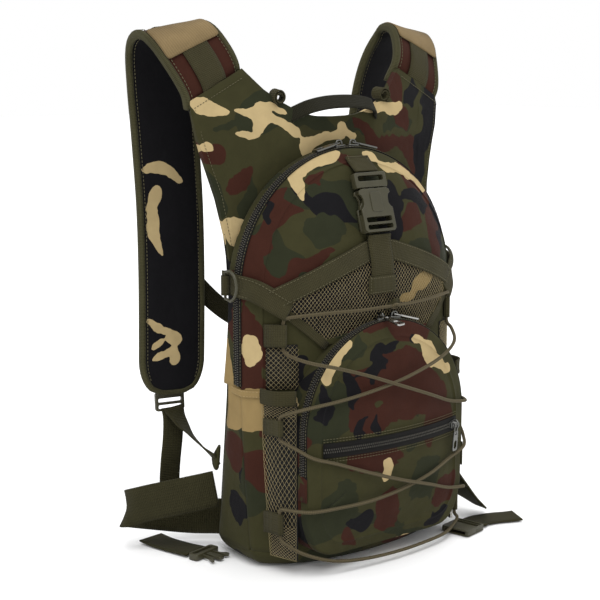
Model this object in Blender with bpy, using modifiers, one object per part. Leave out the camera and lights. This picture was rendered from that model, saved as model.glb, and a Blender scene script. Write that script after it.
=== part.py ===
"""Hydration pack: a tombstone bag with a fold-down top, a laced front pocket and a yoke.

Lengths here are in millimetres and become metres when a mesh is made.  +Z is up, the
front of the pack faces -Y, and the origin is on the flat base under the yoke's plane.
"""
import math

import bmesh
import bpy
from mathutils import Matrix, Vector

MM = 0.001
GAP = 0.3                    # clearance between pieces that touch

# ---- driving dimensions ----
ARCH_R = 135.0               # half width of the bag, and radius of its arched top
ARCH_Z = 275.0               # height of the arch's centre
ZIP_Y = -6.0                 # middle of the main zip
ZIP_WIDE = 7.4
ZIP_END_Z = 184.0            # the main zip stops here on both sides
BULGE = 50.0                 # how far the front stands proud of the main zip
LIP = 3.5                    # its edge runs straight forward this far first
SIDE_EASE = 34.0             # how softly the side turns into the front
TOP_EASE = 55.0
FOLD_Z = 302.0               # the top flap folds forward about this line
WALL = 2.2
BASE_TAPER = 12.0
BASE_ROUND = 18.0
BLADDER_THICK = 20.0
PANEL_THICK = 9.0
PANEL_LOW = 9.0
REAR_Y = 10.0                # inner face of the back panel, above the lumbar swell
SWELL = 50.0                 # how far the base reaches back
SWELL_Z = 260.0
WING_SWEEP = 19.0
POCKET_R = 103.0             # the front pocket's half width and arch radius
POCKET_Z = 141.0
POCKET_LOW = 18.0
POCKET_ZIP_Y = -67.5
POCKET_ZIP_END_Z = 98.0
FACE_Y = -90.0               # the pocket's foremost point
FACE_ZIP_Z = 128.0
FACE_ZIP_R = 300.0           # plan radius of the pocket face along its own zip
CORD = 3.5                   # bungee diameter
BUCKLE_Z = 357.0             # where the centre buckle sits closest to the flap
WEB = 30.0                   # centre webbing width
STRAP_WIDE = 68.0
STRAP_THICK = 9.0
EYE = 5.2                    # height of a pull's end bar over the tape
PULL_DROOP = math.radians(9)

LOOP_SPANS = {"left": ((250, 225), (159, 140), (66, 42)),
              "right": ((254, 229), (142, 123), (40, 19))}
SIDES = {"left": -1, "right": 1}

# one lacing run after another, from the anchor's left to its right (x, y, z)
LACE = [
    (8.3, -68, 257), (-30, -67, 257), (-65, -62, 257.5), (-92, -54, 256.5), (-105, -47, 255),
    (-108, -43.5, 251.5), (-108, -43.5, 238), (-108, -43.5, 223.5),
    (-106.5, -51, 219), (-97, -69, 214), (-74, -84.5, 208), (-40, -92, 197), (0, -96.5, 182),
    (40, -93, 167), (74, -85, 154), (100, -79.8, 149), (111, -68.8, 147), (117, -57, 146),
    (118, -50.5, 143.5), (118, -50.5, 132), (118, -50.5, 120.5),
    (117, -57, 115), (111, -68.8, 107), (100, -79.8, 100), (74, -85, 93), (40, -91.5, 84),
    (0, -92.6, 76), (-40, -92, 72), (-74, -85, 70), (-100, -79.8, 70), (-111, -68.8, 70),
    (-117, -57, 70), (-118, -50.5, 67.5), (-118, -50.5, 54), (-118, -50.5, 40.5),
    (-116, -57, 35), (-102, -68, 25), (-75, -78, 15), (-40, -82, 10), (0, -84, 8.5),
    (40, -82, 8.5), (78, -76, 9), (102, -65, 10.5), (116, -57, 13.5),
    (118, -50.5, 17), (118, -50.5, 29), (118, -50.5, 41.5),
    (117, -57, 47), (111, -68.8, 52), (100, -79.8, 57), (74, -85, 62), (40, -92.5, 74),
    (0, -96.8, 87), (-40, -92.5, 101), (-74, -85, 114), (-100, -79.8, 123), (-111, -68.8, 131),
    (-117, -57, 136), (-118, -50.5, 139), (-118, -50.5, 150), (-118, -50.5, 160),
    (-116, -57, 164), (-110, -69, 169), (-98, -79, 173), (-72, -85, 176), (-40, -90.5, 181),
    (0, -92.5, 188), (40, -90, 197), (70, -83.5, 205), (92, -72, 213), (105, -54, 221),
    (108, -43.5, 226.5), (108, -43.5, 242), (108, -43.5, 255),
    (104, -48, 258), (88, -56, 258.5), (62, -64, 258), (36, -67.5, 257), (15.7, -68, 257),
]

MATERIALS = {                # base colour, roughness, metallic
    "camo": ((0.13, 0.14, 0.07), 0.75, 0.0),
    "webbing": ((0.10, 0.10, 0.055), 0.85, 0.0),
    "mesh": ((0.22, 0.19, 0.10), 0.85, 0.0),
    "lining": ((0.02, 0.02, 0.02), 0.8, 0.0),
    "plastic": ((0.13, 0.13, 0.075), 0.45, 0.0),
    "metal": ((0.45, 0.46, 0.45), 0.3, 1.0),
    "zip": ((0.015, 0.015, 0.015), 0.6, 0.0),
    "cord": ((0.17, 0.16, 0.10), 0.8, 0.0),
    "bladder": ((0.25, 0.42, 0.60), 0.25, 0.0),
}


# ---- scene helpers ----

def clear_scene():
    for obj in list(bpy.data.objects):
        bpy.data.objects.remove(obj, do_unlink=True)


def new_collection(name):
    group = bpy.data.collections.new(name)
    bpy.context.scene.collection.children.link(group)
    return group


def material(kind):
    found = bpy.data.materials.get(kind)
    if found:
        return found
    colour, roughness, metallic = MATERIALS[kind]
    made = bpy.data.materials.new(kind)
    made.use_nodes = True
    shader = made.node_tree.nodes["Principled BSDF"]
    shader.inputs["Base Color"].default_value = (*colour, 1)
    shader.inputs["Roughness"].default_value = roughness
    shader.inputs["Metallic"].default_value = metallic
    return made


def place(obj, kind, group=None):
    (group or PARTS).objects.link(obj)
    obj.data.materials.append(material(kind))
    return obj


def mesh_object(name, bm, kind, smooth=True):
    bmesh.ops.recalc_face_normals(bm, faces=bm.faces[:])
    mesh = bpy.data.meshes.new(name)
    bm.to_mesh(mesh)
    bm.free()
    if smooth:
        mesh.shade_smooth()
        mesh.set_sharp_from_angle(angle=math.radians(40))
    return place(bpy.data.objects.new(name, mesh), kind)


def loft(name, rings, kind, closed=False):
    """Skin a row of like rings of points; a closed loft joins its ends."""
    bm = bmesh.new()
    rows = [[bm.verts.new(Vector(p) * MM) for p in ring] for ring in rings]
    pairs = list(zip(rows, rows[1:]))
    if closed:
        pairs.append((rows[-1], rows[0]))
    count = len(rows[0])
    for low, high in pairs:
        for i in range(count):
            j = (i + 1) % count
            bm.faces.new((low[i], low[j], high[j], high[i]))
    if not closed:
        bm.faces.new(rows[0])
        bm.faces.new(rows[-1])
    return mesh_object(name, bm, kind)


def directions(points):
    """The way a path runs at each of its points."""
    last = len(points) - 1
    return [(points[min(i + 1, last)] - points[max(i - 1, 0)]).normalized()
            for i in range(last + 1)]


def band(name, path, across, width, thick, kind):
    """A flat strip along a path; across and width are one value or one for each point."""
    points = [Vector(p) for p in path]
    sides = [Vector(a) for a in across] if isinstance(across, list) else [Vector(across)] * len(points)
    widths = width if isinstance(width, list) else [width] * len(points)
    rings = []
    for point, way, side, wide in zip(points, directions(points), sides, widths):
        side = (side - way * side.dot(way)).normalized() * (wide / 2)
        up = way.cross(side).normalized() * (thick / 2)
        rings.append([point - side - up, point + side - up, point + side + up, point - side + up])
    return loft(name, rings, kind)


def curve_through(points, steps):
    """A Catmull-Rom curve through points of any dimension."""
    knots = [Vector(p) for p in points]
    knots = [knots[0] * 2 - knots[1]] + knots + [knots[-1] * 2 - knots[-2]]
    out = []
    for a, b, c, d in zip(knots, knots[1:], knots[2:], knots[3:]):
        for step in range(steps):
            t = step / steps
            out.append(0.5 * (2 * b + (c - a) * t + (2 * a - 5 * b + 4 * c - d) * t ** 2
                              + (3 * b - 3 * c + d - a) * t ** 3))
    out.append(knots[-2])
    return out


def skin(name, rows, kind, thick, inside, closed=False, cap=None):
    """An open surface over rows of points, thickened towards the point inside it.

    A None in a row leaves a hole, and cap lists the rows whose ends are filled.
    """
    bm = bmesh.new()
    grid = [[p and bm.verts.new(Vector(p) * MM) for p in row] for row in rows]
    count = len(grid[0])
    last = count if closed else count - 1
    for low, high in zip(grid, grid[1:]):
        for i in range(last):
            j = (i + 1) % count
            corners = [v for v in (low[i], low[j], high[j], high[i]) if v]
            if len(corners) > 2:
                bm.faces.new(corners)
    for index in cap or ():
        bm.faces.new([v for v in grid[index] if v])
    bmesh.ops.remove_doubles(bm, verts=bm.verts[:], dist=0.00001)
    bmesh.ops.recalc_face_normals(bm, faces=bm.faces[:])
    centre = Vector(inside) * MM
    facing = sum(f.normal.dot(f.calc_center_median() - centre) * f.calc_area() for f in bm.faces)
    if facing < 0:
        bmesh.ops.reverse_faces(bm, faces=bm.faces[:])
    mesh = bpy.data.meshes.new(name)
    bm.to_mesh(mesh)
    bm.free()
    mesh.shade_smooth()
    obj = place(bpy.data.objects.new(name, mesh), kind)
    solid = obj.modifiers.new("wall", "SOLIDIFY")
    solid.thickness = thick * MM
    solid.offset = -1
    solid.use_even_offset = False
    return obj


def pipe(name, points, diameter, kind, cyclic=False, resolution=2):
    data = bpy.data.curves.new(name, "CURVE")
    data.dimensions = "3D"
    data.bevel_depth = diameter / 2 * MM
    data.bevel_resolution = resolution
    data.use_fill_caps = True
    line = data.splines.new("POLY")
    line.points.add(len(points) - 1)
    for knot, point in zip(line.points, points):
        knot.co = (*(Vector(point) * MM), 1)
    line.use_cyclic_u = cyclic
    return place(bpy.data.objects.new(name, data), kind)


def flat_plate(name, outlines, thick, kind):
    """A flat outline with holes, in the local XY plane."""
    data = bpy.data.curves.new(name, "CURVE")
    data.dimensions = "2D"
    data.fill_mode = "BOTH"
    data.extrude = thick / 2 * MM
    for outline in outlines:
        line = data.splines.new("POLY")
        line.points.add(len(outline) - 1)
        for knot, (x, y) in zip(line.points, outline):
            knot.co = (x * MM, y * MM, 0, 1)
        line.use_cyclic_u = True
    return place(bpy.data.objects.new(name, data), kind)


def rounded(x0, x1, y0, y1, radius, steps=3):
    """A rectangle's outline with round corners."""
    out = []
    corners = ((x1, y0, -90), (x1, y1, 0), (x0, y1, 90), (x0, y0, 180))
    for x, y, start in corners:
        cx = x - radius if x == x1 else x + radius
        cy = y - radius if y == y1 else y + radius
        for step in range(steps + 1):
            turn = math.radians(start + 90 * step / steps)
            out.append((cx + radius * math.cos(turn), cy + radius * math.sin(turn)))
    return out


def box(name, size, centre, kind, bevel=0.0, group=None):
    bm = bmesh.new()
    bmesh.ops.create_cube(bm, size=1)
    for vert in bm.verts:
        vert.co = (Vector(v * s for v, s in zip(vert.co, size)) + Vector(centre)) * MM
    mesh = bpy.data.meshes.new(name)
    bm.to_mesh(mesh)
    bm.free()
    obj = place(bpy.data.objects.new(name, mesh), kind, group)
    if bevel:
        edge = obj.modifiers.new("edge", "BEVEL")
        edge.width = bevel * MM
        edge.segments = 2
    return obj


def boolean(obj, other, operation):
    """Cut or join with a box that is itself left out of the model."""
    other.hide_render = True
    other.display_type = "WIRE"
    joint = obj.modifiers.new(other.name, "BOOLEAN")
    joint.operation = operation
    joint.object = other
    joint.solver = "EXACT"


def cut(obj, size, centre):
    boolean(obj, box(obj.name + "_cut", size, centre, "lining", group=CUTTERS), "DIFFERENCE")


def join(obj, size, centre, bevel=0.0):
    boolean(obj, box(obj.name + "_add", size, centre, "lining", bevel, CUTTERS), "UNION")


def set_frame(obj, origin, x_axis, z_axis):
    """Stand an object, and the cutters made for it, on a local frame."""
    z_axis = Vector(z_axis).normalized()
    x_axis = Vector(x_axis)
    x_axis = (x_axis - z_axis * x_axis.dot(z_axis)).normalized()
    y_axis = z_axis.cross(x_axis)
    frame = Matrix((x_axis, y_axis, z_axis)).transposed().to_4x4()
    frame.translation = Vector(origin) * MM
    obj.matrix_world = frame
    for modifier in obj.modifiers:
        if modifier.type == "BOOLEAN":
            modifier.object.matrix_world = frame


# ---- the bag's surfaces ----

def half_width(z):
    if z > ARCH_Z:
        return math.sqrt(max(0.0, ARCH_R ** 2 - (z - ARCH_Z) ** 2))
    fall = max(0.0, (ZIP_END_Z - z) / ZIP_END_Z)
    return ARCH_R - BASE_TAPER * fall ** 1.5


def rear_y(z):
    """Inner face of the back panel."""
    return REAR_Y + SWELL * max(0.0, (SWELL_Z - z) / SWELL_Z) ** 1.4


def front_y(x, z):
    """Outer face of the bag's front, from the zip forwards."""
    inset = half_width(z) - abs(x)
    ease = SIDE_EASE
    if z > ARCH_Z:
        rise = z - ARCH_Z
        radius = math.hypot(x, rise)
        inset = ARCH_R - radius
        ease += (TOP_EASE - SIDE_EASE) * (rise / radius) ** 2 * min(1.0, rise / 50)
    lip = LIP * min(1.0, max(inset, 0) / 0.5)
    return ZIP_Y - ZIP_WIDE / 2 - 2 * GAP - lip - (BULGE - LIP) * (1 - math.exp(-max(inset, 0) / ease))


def arch(radius, centre_z, end_z, steps):
    """A tombstone outline from the left end up over the top to the right end, as (x, z)."""
    side = 4
    left = [(-radius, end_z + (centre_z - end_z) * i / side) for i in range(side)]
    top = [(-radius * math.cos(math.pi * i / steps), centre_z + radius * math.sin(math.pi * i / steps))
           for i in range(steps + 1)]
    return left + top + [(-x, z) for x, z in reversed(left)]


def build_back_panel():
    """The padded back and yoke, with its two wings, from column to column."""
    neck = ((0, 440), (25, 441), (45, 446), (64, 455), (82, 468), (102, 488), (161, 457))
    hem = ((0, PANEL_LOW), (96, PANEL_LOW), (112, 40), (120, 110), (124, 200), (126, 262),
           (131, 317), (138, 365), (148, 400), (155, 422), (161, 453))
    columns = (0, 25, 45, 64, 82, 96, 104, 112, 120, 125, 131, 138, 148, 155, 161)

    def read(table, x):
        for (x0, z0), (x1, z1) in zip(table, table[1:]):
            if x <= x1:
                return z0 + (z1 - z0) * (x - x0) / (x1 - x0)
        return table[-1][1]

    rows = []
    steps = 9
    for x in [-c for c in reversed(columns[1:])] + list(columns):
        low = read(hem, abs(x))
        high = read(neck, abs(x))
        levels = [low + (high - low) * i / steps for i in range(steps + 1)]
        rows.append([(x, panel_y(x, z), z) for z in levels])
    return skin("back_panel", rows, "camo", PANEL_THICK, (0, 500, 200))


def panel_y(x, z):
    rise = min(1.0, max(0.0, (z - 280) / 120))
    sweep = WING_SWEEP * max(0.0, (abs(x) - 50) / 111) ** 1.3
    return rear_y(z) + sweep * rise + 12 * max(0.0, (z - 440) / 48)


def build_rear_gusset():
    outline = arch(ARCH_R - WALL / 2, ARCH_Z, ZIP_END_Z, 24)
    front = ZIP_Y + ZIP_WIDE / 2 + GAP
    backs = [rear_y(z) - GAP for x, z in outline]
    path = [(x, (front + back) / 2, z) for (x, z), back in zip(outline, backs)]
    band("rear_gusset", path, (0, 1, 0), [back - front for back in backs], WALL, "camo")


def build_front_shell():
    """The bag below the fold: front, sides and base in one skin, open to the back panel."""
    insets = (0, 0.5, 6, 14, 26, 42, 62, 86, 110)
    turn = [(BASE_ROUND * (1 - math.cos(a)), BASE_ROUND * (1 - math.sin(a)))
            for a in (0, math.radians(30), math.radians(60), math.radians(90))]
    levels = turn + [(z, 0) for z in (50, 90, 135, 170, ZIP_END_Z - 3, ZIP_END_Z + 1, 230, 275,
                                      FOLD_Z - 0.8)]
    rows = []
    for z, pull in levels:
        wide = half_width(z)
        scale_x = (wide - pull) / wide
        scale_y = (BULGE + 10 - pull) / (BULGE + 10)
        half = [(wide - inset, front_y(wide - inset, z)) for inset in insets if inset < wide]
        if z < ZIP_END_Z:
            back = rear_y(z) - GAP
            edge = [(wide - 8, back), (wide - 2, back - 12), (wide, ZIP_Y)]
        else:
            edge = [None, None, None]
        points = edge + half
        left = [p and (-p[0] * scale_x, p[1] * scale_y, z) for p in points]
        right = [p and (p[0] * scale_x, p[1] * scale_y, z) for p in reversed(points)]
        rows.append(left + [(0, front_y(0, z) * scale_y, z)] + right)
    skin("front_shell", rows, "camo", WALL, (0, 0, 150), cap=[0])


def build_top_flap():
    """The fold-down top: a fan of rows from the fold's middle out to the main zip."""
    shares = (0, 0.005, 0.05, 0.11, 0.19, 0.31, 0.49, 0.73, 1)
    spokes = 24
    rise = FOLD_Z - ARCH_Z
    rows = []
    for i in range(spokes + 1):
        turn = math.pi * (i / spokes - 0.5)
        sine, cosine = math.sin(turn), math.cos(turn)
        reach = -rise * cosine + math.sqrt(ARCH_R ** 2 - (rise * sine) ** 2)
        row = []
        for share in shares:
            x = reach * (1 - share) * sine
            z = FOLD_Z + 0.8 + (reach - 0.8) * (1 - share) * cosine
            row.append((x, front_y(x, z), z))
        rows.append(row)
    skin("top_flap", rows, "camo", WALL, (0, 0, 330))


def build_zip(name, outline, y, width):
    path = [(x, y, z) for x, z in outline]
    return band(name, path, (0, 1, 0), width, 2.0, "zip")


# ---- what the bag holds ----

def sleeve_y(z):
    """The hydration sleeve's divider, in front of the back panel."""
    return rear_y(z) - 12 - 22 * min(1.0, max(0.0, (385 - z) / 200))


def build_divider():
    levels = [22 + (383 - 22) * i / 12 for i in range(13)]
    rows = []
    for z in levels:
        wide = min(half_width(z) - 9, 118)
        rows.append([(wide * t, sleeve_y(z), z) for t in (-1, -0.5, 0, 0.5, 1)])
    skin("hydration_sleeve", rows, "lining", 1.2, (0, 500, 200))


def build_bladder():
    """A filled reservoir: rounded flat sections that taper to both ends."""
    rings = []
    for z, wide, share in ((24, 66, 0.35), (34, 84, 0.75), (60, 90, 1), (120, 92, 1), (180, 92, 0.95),
                           (236, 90, 0.5), (290, 84, 0.5), (318, 70, 0.4), (326, 58, 0.2)):
        room = rear_y(z) - sleeve_y(z) - 5
        thick = min(room, BLADDER_THICK) * share
        middle = rear_y(z) - 1.5 - thick / 2
        ring = []
        for step in range(16):
            turn = 2 * math.pi * step / 16
            c, s = math.cos(turn), math.sin(turn)
            ring.append((wide * math.copysign(abs(c) ** 0.6, c),
                         middle + thick / 2 * math.copysign(abs(s) ** 0.8, s), z))
        rings.append(ring)
    loft("water_bladder", rings, "bladder")


def turned(name, profile, origin, kind, steps=20):
    """A turned piece on the -Y axis, from a profile of (radius, height) run top to bottom."""
    mesh = bpy.data.meshes.new(name)
    points = [(r * MM, 0, h * MM) for r, h in profile]
    mesh.from_pydata(points, [(i, i + 1) for i in range(len(points) - 1)], [])
    obj = place(bpy.data.objects.new(name, mesh), kind)
    screw = obj.modifiers.new("turn", "SCREW")
    screw.steps = steps
    screw.render_steps = steps
    screw.use_merge_vertices = True
    screw.merge_threshold = 0.00001
    obj.rotation_euler = (math.radians(90), 0, 0)
    obj.location = Vector(origin) * MM
    return obj


def build_bladder_fittings():
    turned("bladder_cap", [(0, 5), (20, 5), (22, 3.5), (22, 0), (0, 0)], (0, -1.2, 264), "plastic")
    turned("bladder_outlet", [(0, 5.5), (4, 5.5), (4, 3), (8, 2), (8, 0), (0, 0)],
           (0, 19.8, 62), "plastic", 16)


# ---- webbing on the front ----

def laid_on(points, proud):
    """Put (x, z) points on the bag's front, this far proud of it."""
    return [(x, front_y(x, z) - proud, z) for x, z in points]


def build_front_webbing():
    apex = [(-70, 303.5), (-45, 313), (-20, 321), (0, 325), (20, 321), (45, 313), (70, 303.5)]
    low_edge = [(x, 303.2) for x, _ in apex]
    rows = [laid_on(low_edge, 0.8), laid_on(apex, 0.8)]
    skin("v_webbing_apex", rows, "webbing", 1.2, (0, -900, 300))
    top = [(-118, 285), (-95, 293), (-70, 299.5), (-40, 300.5), (0, 300.5), (40, 300.5), (70, 299.5),
           (95, 293), (118, 285)]
    bottom = [(-94, 262), (-86, 256), (-70, 250), (-40, 250), (0, 250), (40, 250), (70, 250),
              (86, 256), (94, 262)]
    rows = []
    for share in (0, 0.33, 0.67, 1):
        mixed = [(a * (1 - share) + c * share, b * (1 - share) + d * share)
                 for (a, b), (c, d) in zip(bottom, top)]
        rows.append(laid_on(mixed, 1.5))
    skin("v_mesh_pocket", rows, "mesh", 1.4, (0, -900, 270))


def front_slope(z, x=0.0):
    """Unit vector up the bag's front at a height, on its middle line."""
    step = 4
    return Vector((0, front_y(x, z + step) - front_y(x, z - step), 2 * step)).normalized()


def build_centre_strap():
    upper = [(0, front_y(0, z) - proud, z) for z, proud in
             ((401, 2.0), (397.5, 3.4), (393, 6.0), (388.6, 9.4))]
    band("centre_webbing_upper", upper, (1, 0, 0), WEB - 1, 1.6, "webbing")
    lower = [(0, front_y(0, z) - proud, z) for z, proud in
             ((327.6, 8.0), (320, 5.0), (311, 3.7), (303.5, 3.7))]
    band("centre_webbing_lower", lower, (1, 0, 0), WEB - 1, 1.6, "webbing")


def make_buckle(male_name, female_name, origin, along, out, size):
    """A side-release buckle; local +X runs out of the female half, local +Z is its face."""
    def sized(*values):
        return tuple(value * factor for value, factor in zip(values, size))

    female = box(female_name, sized(34, 31, 9), sized(-17, 0, 0), "plastic", 2.0)
    cut(female, sized(23, 23, 5.6), sized(-8.5, 0, 0))
    cut(female, sized(11, 40, 3.4), sized(-11, 0, 0))
    cut(female, sized(4.4, 25.5, 12), sized(-24.4, 0, 0))
    cut(female, sized(3.6, 25.5, 12), sized(-30.2, 0, 0))
    male = box(male_name, sized(12, 31, 6.6), sized(7, 0, 0), "plastic", 1.4)
    cut(male, sized(4.2, 25.5, 12), sized(8.4, 0, 0))
    join(male, sized(19, 6, 3.2), sized(-8, 0, 0))
    for side in (-1, 1):
        join(male, sized(18, 3.2, 3.2), sized(-7.5, side * 8.6, 0))
    for obj in (male, female):
        set_frame(obj, origin, along, out)


def build_buckles():
    slope = front_slope(BUCKLE_Z)
    out = Vector((0, -slope.z, slope.y))
    seat = Vector((0, front_y(0, BUCKLE_Z), BUCKLE_Z))
    make_buckle("buckle_male", "buckle_female", seat + out * 5.8 + slope * 13, slope, out,
                (1.27, 1.29, 1.1))


# ---- zips ----

def make_slider(name, origin, along, out, swivel=0.0):
    """A zip slider: a bevelled block, and a bridge with room for the pull's end bar."""
    slider = box(name, (13, 8, 2.6), (0, 0, 1.9), "metal", 0.7)
    bridge = (7.6, 3.0, 4.6)
    eye = (4.8, 9.0, 2.9)
    if swivel:
        bridge = (3.0, 7.6, 4.6)
        eye = (9.0, 4.8, 2.9)
    join(slider, bridge, (0, 0, EYE))
    cut(slider, eye, (0, 0, EYE))
    set_frame(slider, origin, along, out)


def make_pull(name, origin, along, out, droop, length=31.0):
    """A flat pull whose end bar lies in the slider's eye, at this object's own origin."""
    outer = rounded(-0.8, length, -4.6, 4.6, 0.75, 1)
    outer = [(x, y * (0.85 if x < 9 else 1.0)) for x, y in outer]
    window = rounded(0.8, 8.2, -2.6, 2.6, 0.6, 1)
    slot = rounded(length - 11, length - 2.2, -2.5, 2.5, 2.4, 3)
    pull = flat_plate(name, [outer, window, slot], 1.5, "metal")
    along, out = Vector(along).normalized(), Vector(out).normalized()
    axis = along.cross(out)
    turn = Matrix.Rotation(-droop, 3, axis)
    set_frame(pull, origin, turn @ along, turn @ out)


def build_main_sliders():
    rest = math.radians(3.7)
    for side, sign in SIDES.items():
        out = Vector((sign * math.sin(rest), 0, math.cos(rest)))
        along = Vector((sign * math.cos(rest), 0, -math.sin(rest)))
        seat = Vector((0, ZIP_Y, ARCH_Z)) + out * ARCH_R
        make_slider(f"main_slider_{side}", seat, along, out)
        make_pull(f"main_pull_{side}", seat + out * EYE, along, out, PULL_DROOP)


def build_pocket_sliders():
    for side, sign, rest in (("left", -1, math.radians(3.0)), ("right", 1, math.radians(6.5))):
        out = Vector((sign * math.sin(rest), 0, math.cos(rest)))
        chain = Vector((sign * math.cos(rest), 0, -math.sin(rest)))
        seat = Vector((0, POCKET_ZIP_Y, POCKET_Z)) + out * POCKET_R
        hangs = side == "left"
        make_slider(f"pocket_slider_{side}", seat, chain, out, hangs)
        if hangs:
            make_pull(f"pocket_pull_{side}", seat + out * EYE, (0, -1, 0), out, PULL_DROOP)
        else:
            make_pull(f"pocket_pull_{side}", seat + out * EYE, chain, out, PULL_DROOP)


def face_arc(x):
    """The pocket face's plan arc, along which the small zip runs."""
    return FACE_Y - 1.6 + FACE_ZIP_R - math.sqrt(FACE_ZIP_R ** 2 - x ** 2)


def build_face_zip():
    path = [(x, face_arc(x) - 1.0, FACE_ZIP_Z) for x in range(-88, 89, 11)]
    band("face_zip", path, (0, 0, 1), 9, 1.6, "zip")
    x = 80                                   # the slider is parked near the right end
    seat = Vector((x, face_arc(x) - 1.8, FACE_ZIP_Z))
    out = Vector((x, face_arc(x) - (FACE_Y - 1.6 + FACE_ZIP_R), 0)).normalized()
    chain = Vector((0, 0, 1)).cross(out)
    make_slider("face_slider", seat, chain, out, 1.0)
    make_pull("face_pull", seat + out * EYE, (0, 0, -1), out, math.radians(4), 28)


# ---- the front pocket ----

def pocket_outline(scale):
    """A tombstone ring of (x, z) points, scaled about a point low on the pocket."""
    hub = 125.0
    ring = arch(POCKET_R, POCKET_Z, 60, 20)
    corner = 30.0
    turns = (30, 60, 90)
    right = [(POCKET_R - 4 - corner + corner * math.cos(math.radians(a)),
              POCKET_LOW + corner - corner * math.sin(math.radians(a))) for a in turns]
    base = [(40, POCKET_LOW), (0, POCKET_LOW), (-40, POCKET_LOW)]
    left = [(-x, z) for x, z in reversed(right)]
    ring = ring + [(POCKET_R - 2, 52)] + right + base + left + [(-POCKET_R + 2, 52)]
    return [(x * scale, hub + (z - hub) * scale) for x, z in ring]


def build_front_pocket():
    back = POCKET_ZIP_Y + ZIP_WIDE / 2 + GAP
    outer = pocket_outline(1.0)
    rows = [[(x, front_y(x, z) - WALL, z) for x, z in outer], [(x, back, z) for x, z in outer]]
    skin("pocket_gusset", rows, "camo", 1.6, (0, -50, 125), closed=True)
    front = POCKET_ZIP_Y - ZIP_WIDE / 2 - GAP
    low = back - 0.5
    rims = [front if z > POCKET_ZIP_END_Z else low for x, z in outer]
    rows = [[(x, rim - step, z) for (x, z), rim in zip(outer, rims)] for step in (0, 2)]
    for scale, y in ((0.91, -75.5), (0.75, -80.2), (0.45, -87), (0.2, -89.5), (0, FACE_Y)):
        rows.append([(x, y, z) for x, z in pocket_outline(scale)])
    skin("pocket_front", rows, "camo", 1.8, (0, -50, 125), closed=True)
    outline = arch(POCKET_R - 1, POCKET_Z, POCKET_ZIP_END_Z + 3, 20)
    build_zip("pocket_zip", outline, POCKET_ZIP_Y, ZIP_WIDE)


# ---- side pockets, loops and lacing ----

POCKET_EDGE = (POCKET_R + 2.4, -60.0)    # plan point where the side mesh meets the front pocket
LOOP_CORES = ((108, -43.5), (118, -50.5), (118, -50.5))


def build_side_pocket(side, sign):
    """Elastic mesh from the flank to the front pocket, standing open at its hem."""
    rows = []
    for z, bulge in ((16, 0), (50, 1), (90, 1.5), (130, 1.4), (160, 0.9), (174, 1.6)):
        rear_x = half_width(z) - 12
        rear = Vector((rear_x + 1.4, front_y(rear_x, z) - 1.4))
        fore = Vector(POCKET_EDGE)
        way = (fore - rear).normalized()
        out = Vector((-way.y, way.x))
        row = []
        for i in range(9):
            share = i / 8
            spot = rear.lerp(fore, share) + out * bulge * math.sin(math.pi * share)
            row.append((sign * spot.x, spot.y, z))
        rows.append(row)
    skin(f"side_pocket_{side}", rows, "mesh", 1.2, (0, 0, 100))


def build_lace_loop(side, sign, index, top, bottom):
    """A tab of webbing folded round the lacing, sewn down at its rear end."""
    x, y = LOOP_CORES[index]
    run = Vector((0.766, 0.643)) if index == 0 else Vector((0.3, 0.954))
    core = Vector((sign * x, y))
    back = Vector((sign * run.x, run.y))
    out = Vector((sign * run.y, -run.x))
    radius = CORD / 2 + 0.4 + 0.6
    reach = 19
    plan = [core + back * reach + out * 0.95]
    plan.append(core + back * 6 + out * 1.3)
    for step in range(9):
        turn = math.radians(115 - 230 * step / 8)
        plan.append(core - back * radius * math.cos(turn) + out * radius * math.sin(turn))
    plan.append(core + back * 6 - out * 1.3)
    plan.append(core + back * reach - out * 0.95)
    path = [(p.x, p.y, (top + bottom) / 2) for p in plan]
    band(f"lace_loop_{side}_{index + 1}", path, (0, 0, 1), top - bottom - 3, 1.1, "webbing")


def build_lacing():
    pipe("bungee_cord", curve_through(LACE, 1), CORD, "cord")
    box("bungee_anchor", (6.8, 5.4, 9), (12, -68, 257), "webbing", 0.8)


# ---- harness and carrying pieces ----

def build_handle():
    path = curve_through([(-48, 1, 447), (-41, 0, 451.5), (-22, -1, 454.5), (0, -1, 455.5),
                          (22, -1, 454.5), (41, 0, 451.5), (48, 1, 447)], 3)
    band("haul_handle", path, (0, 0.55, 0.84), 14, 2.2, "webbing")


def build_compression_web(side, sign):
    path = [(sign * 138.5, 13, 285), (sign * 138.5, 2, 285), (sign * 138.3, -9.5, 284)]
    for inset, z in ((5, 282.5), (12, 279.5), (20, 276), (28, 273), (36, 271)):
        x = half_width(z) - inset
        path.append((sign * (x + 2.6), front_y(x, z) - 2.6, z))
    band(f"compression_web_{side}", path, (0, 0, 1), 22, 1.4, "webbing")


def build_d_ring(side, sign):
    """A D of round bar; its straight side is the hinge."""
    points = [(0, 13 - 26 * i / 4) for i in range(5)]
    points += [(-13.5 * math.cos(math.radians(a)) - 5.0, 15 * math.sin(math.radians(a)))
               for a in range(-75, 76, 25)]
    path = [(sign * 142.5, 3 + a, 284 + b) for a, b in points]
    pipe(f"d_ring_{side}", path, 2.8, "plastic", cyclic=True)


STRAP_LINE = [(134, 36.5, 479.5), (141, 45, 498), (148.5, 60, 517), (152, 80, 523), (149, 99, 509),
              (142, 110, 474), (136, 114, 424), (131, 115, 352), (130, 115, 282), (131, 115, 214),
              (132, 115, 178), (132.5, 115, 158)]
STRAP_ACROSS = [(0.877, 0.012, -0.48), (0.92, 0.08, -0.36), (0.955, 0.15, -0.22), (0.97, 0.18, -0.12),
                (0.97, 0.2, 0.02), (0.97, 0.21, 0.05), (0.975, 0.21, 0.03), (0.978, 0.208, 0),
                (0.978, 0.208, 0), (0.978, 0.208, 0), (0.978, 0.208, 0), (0.978, 0.208, 0)]


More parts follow.
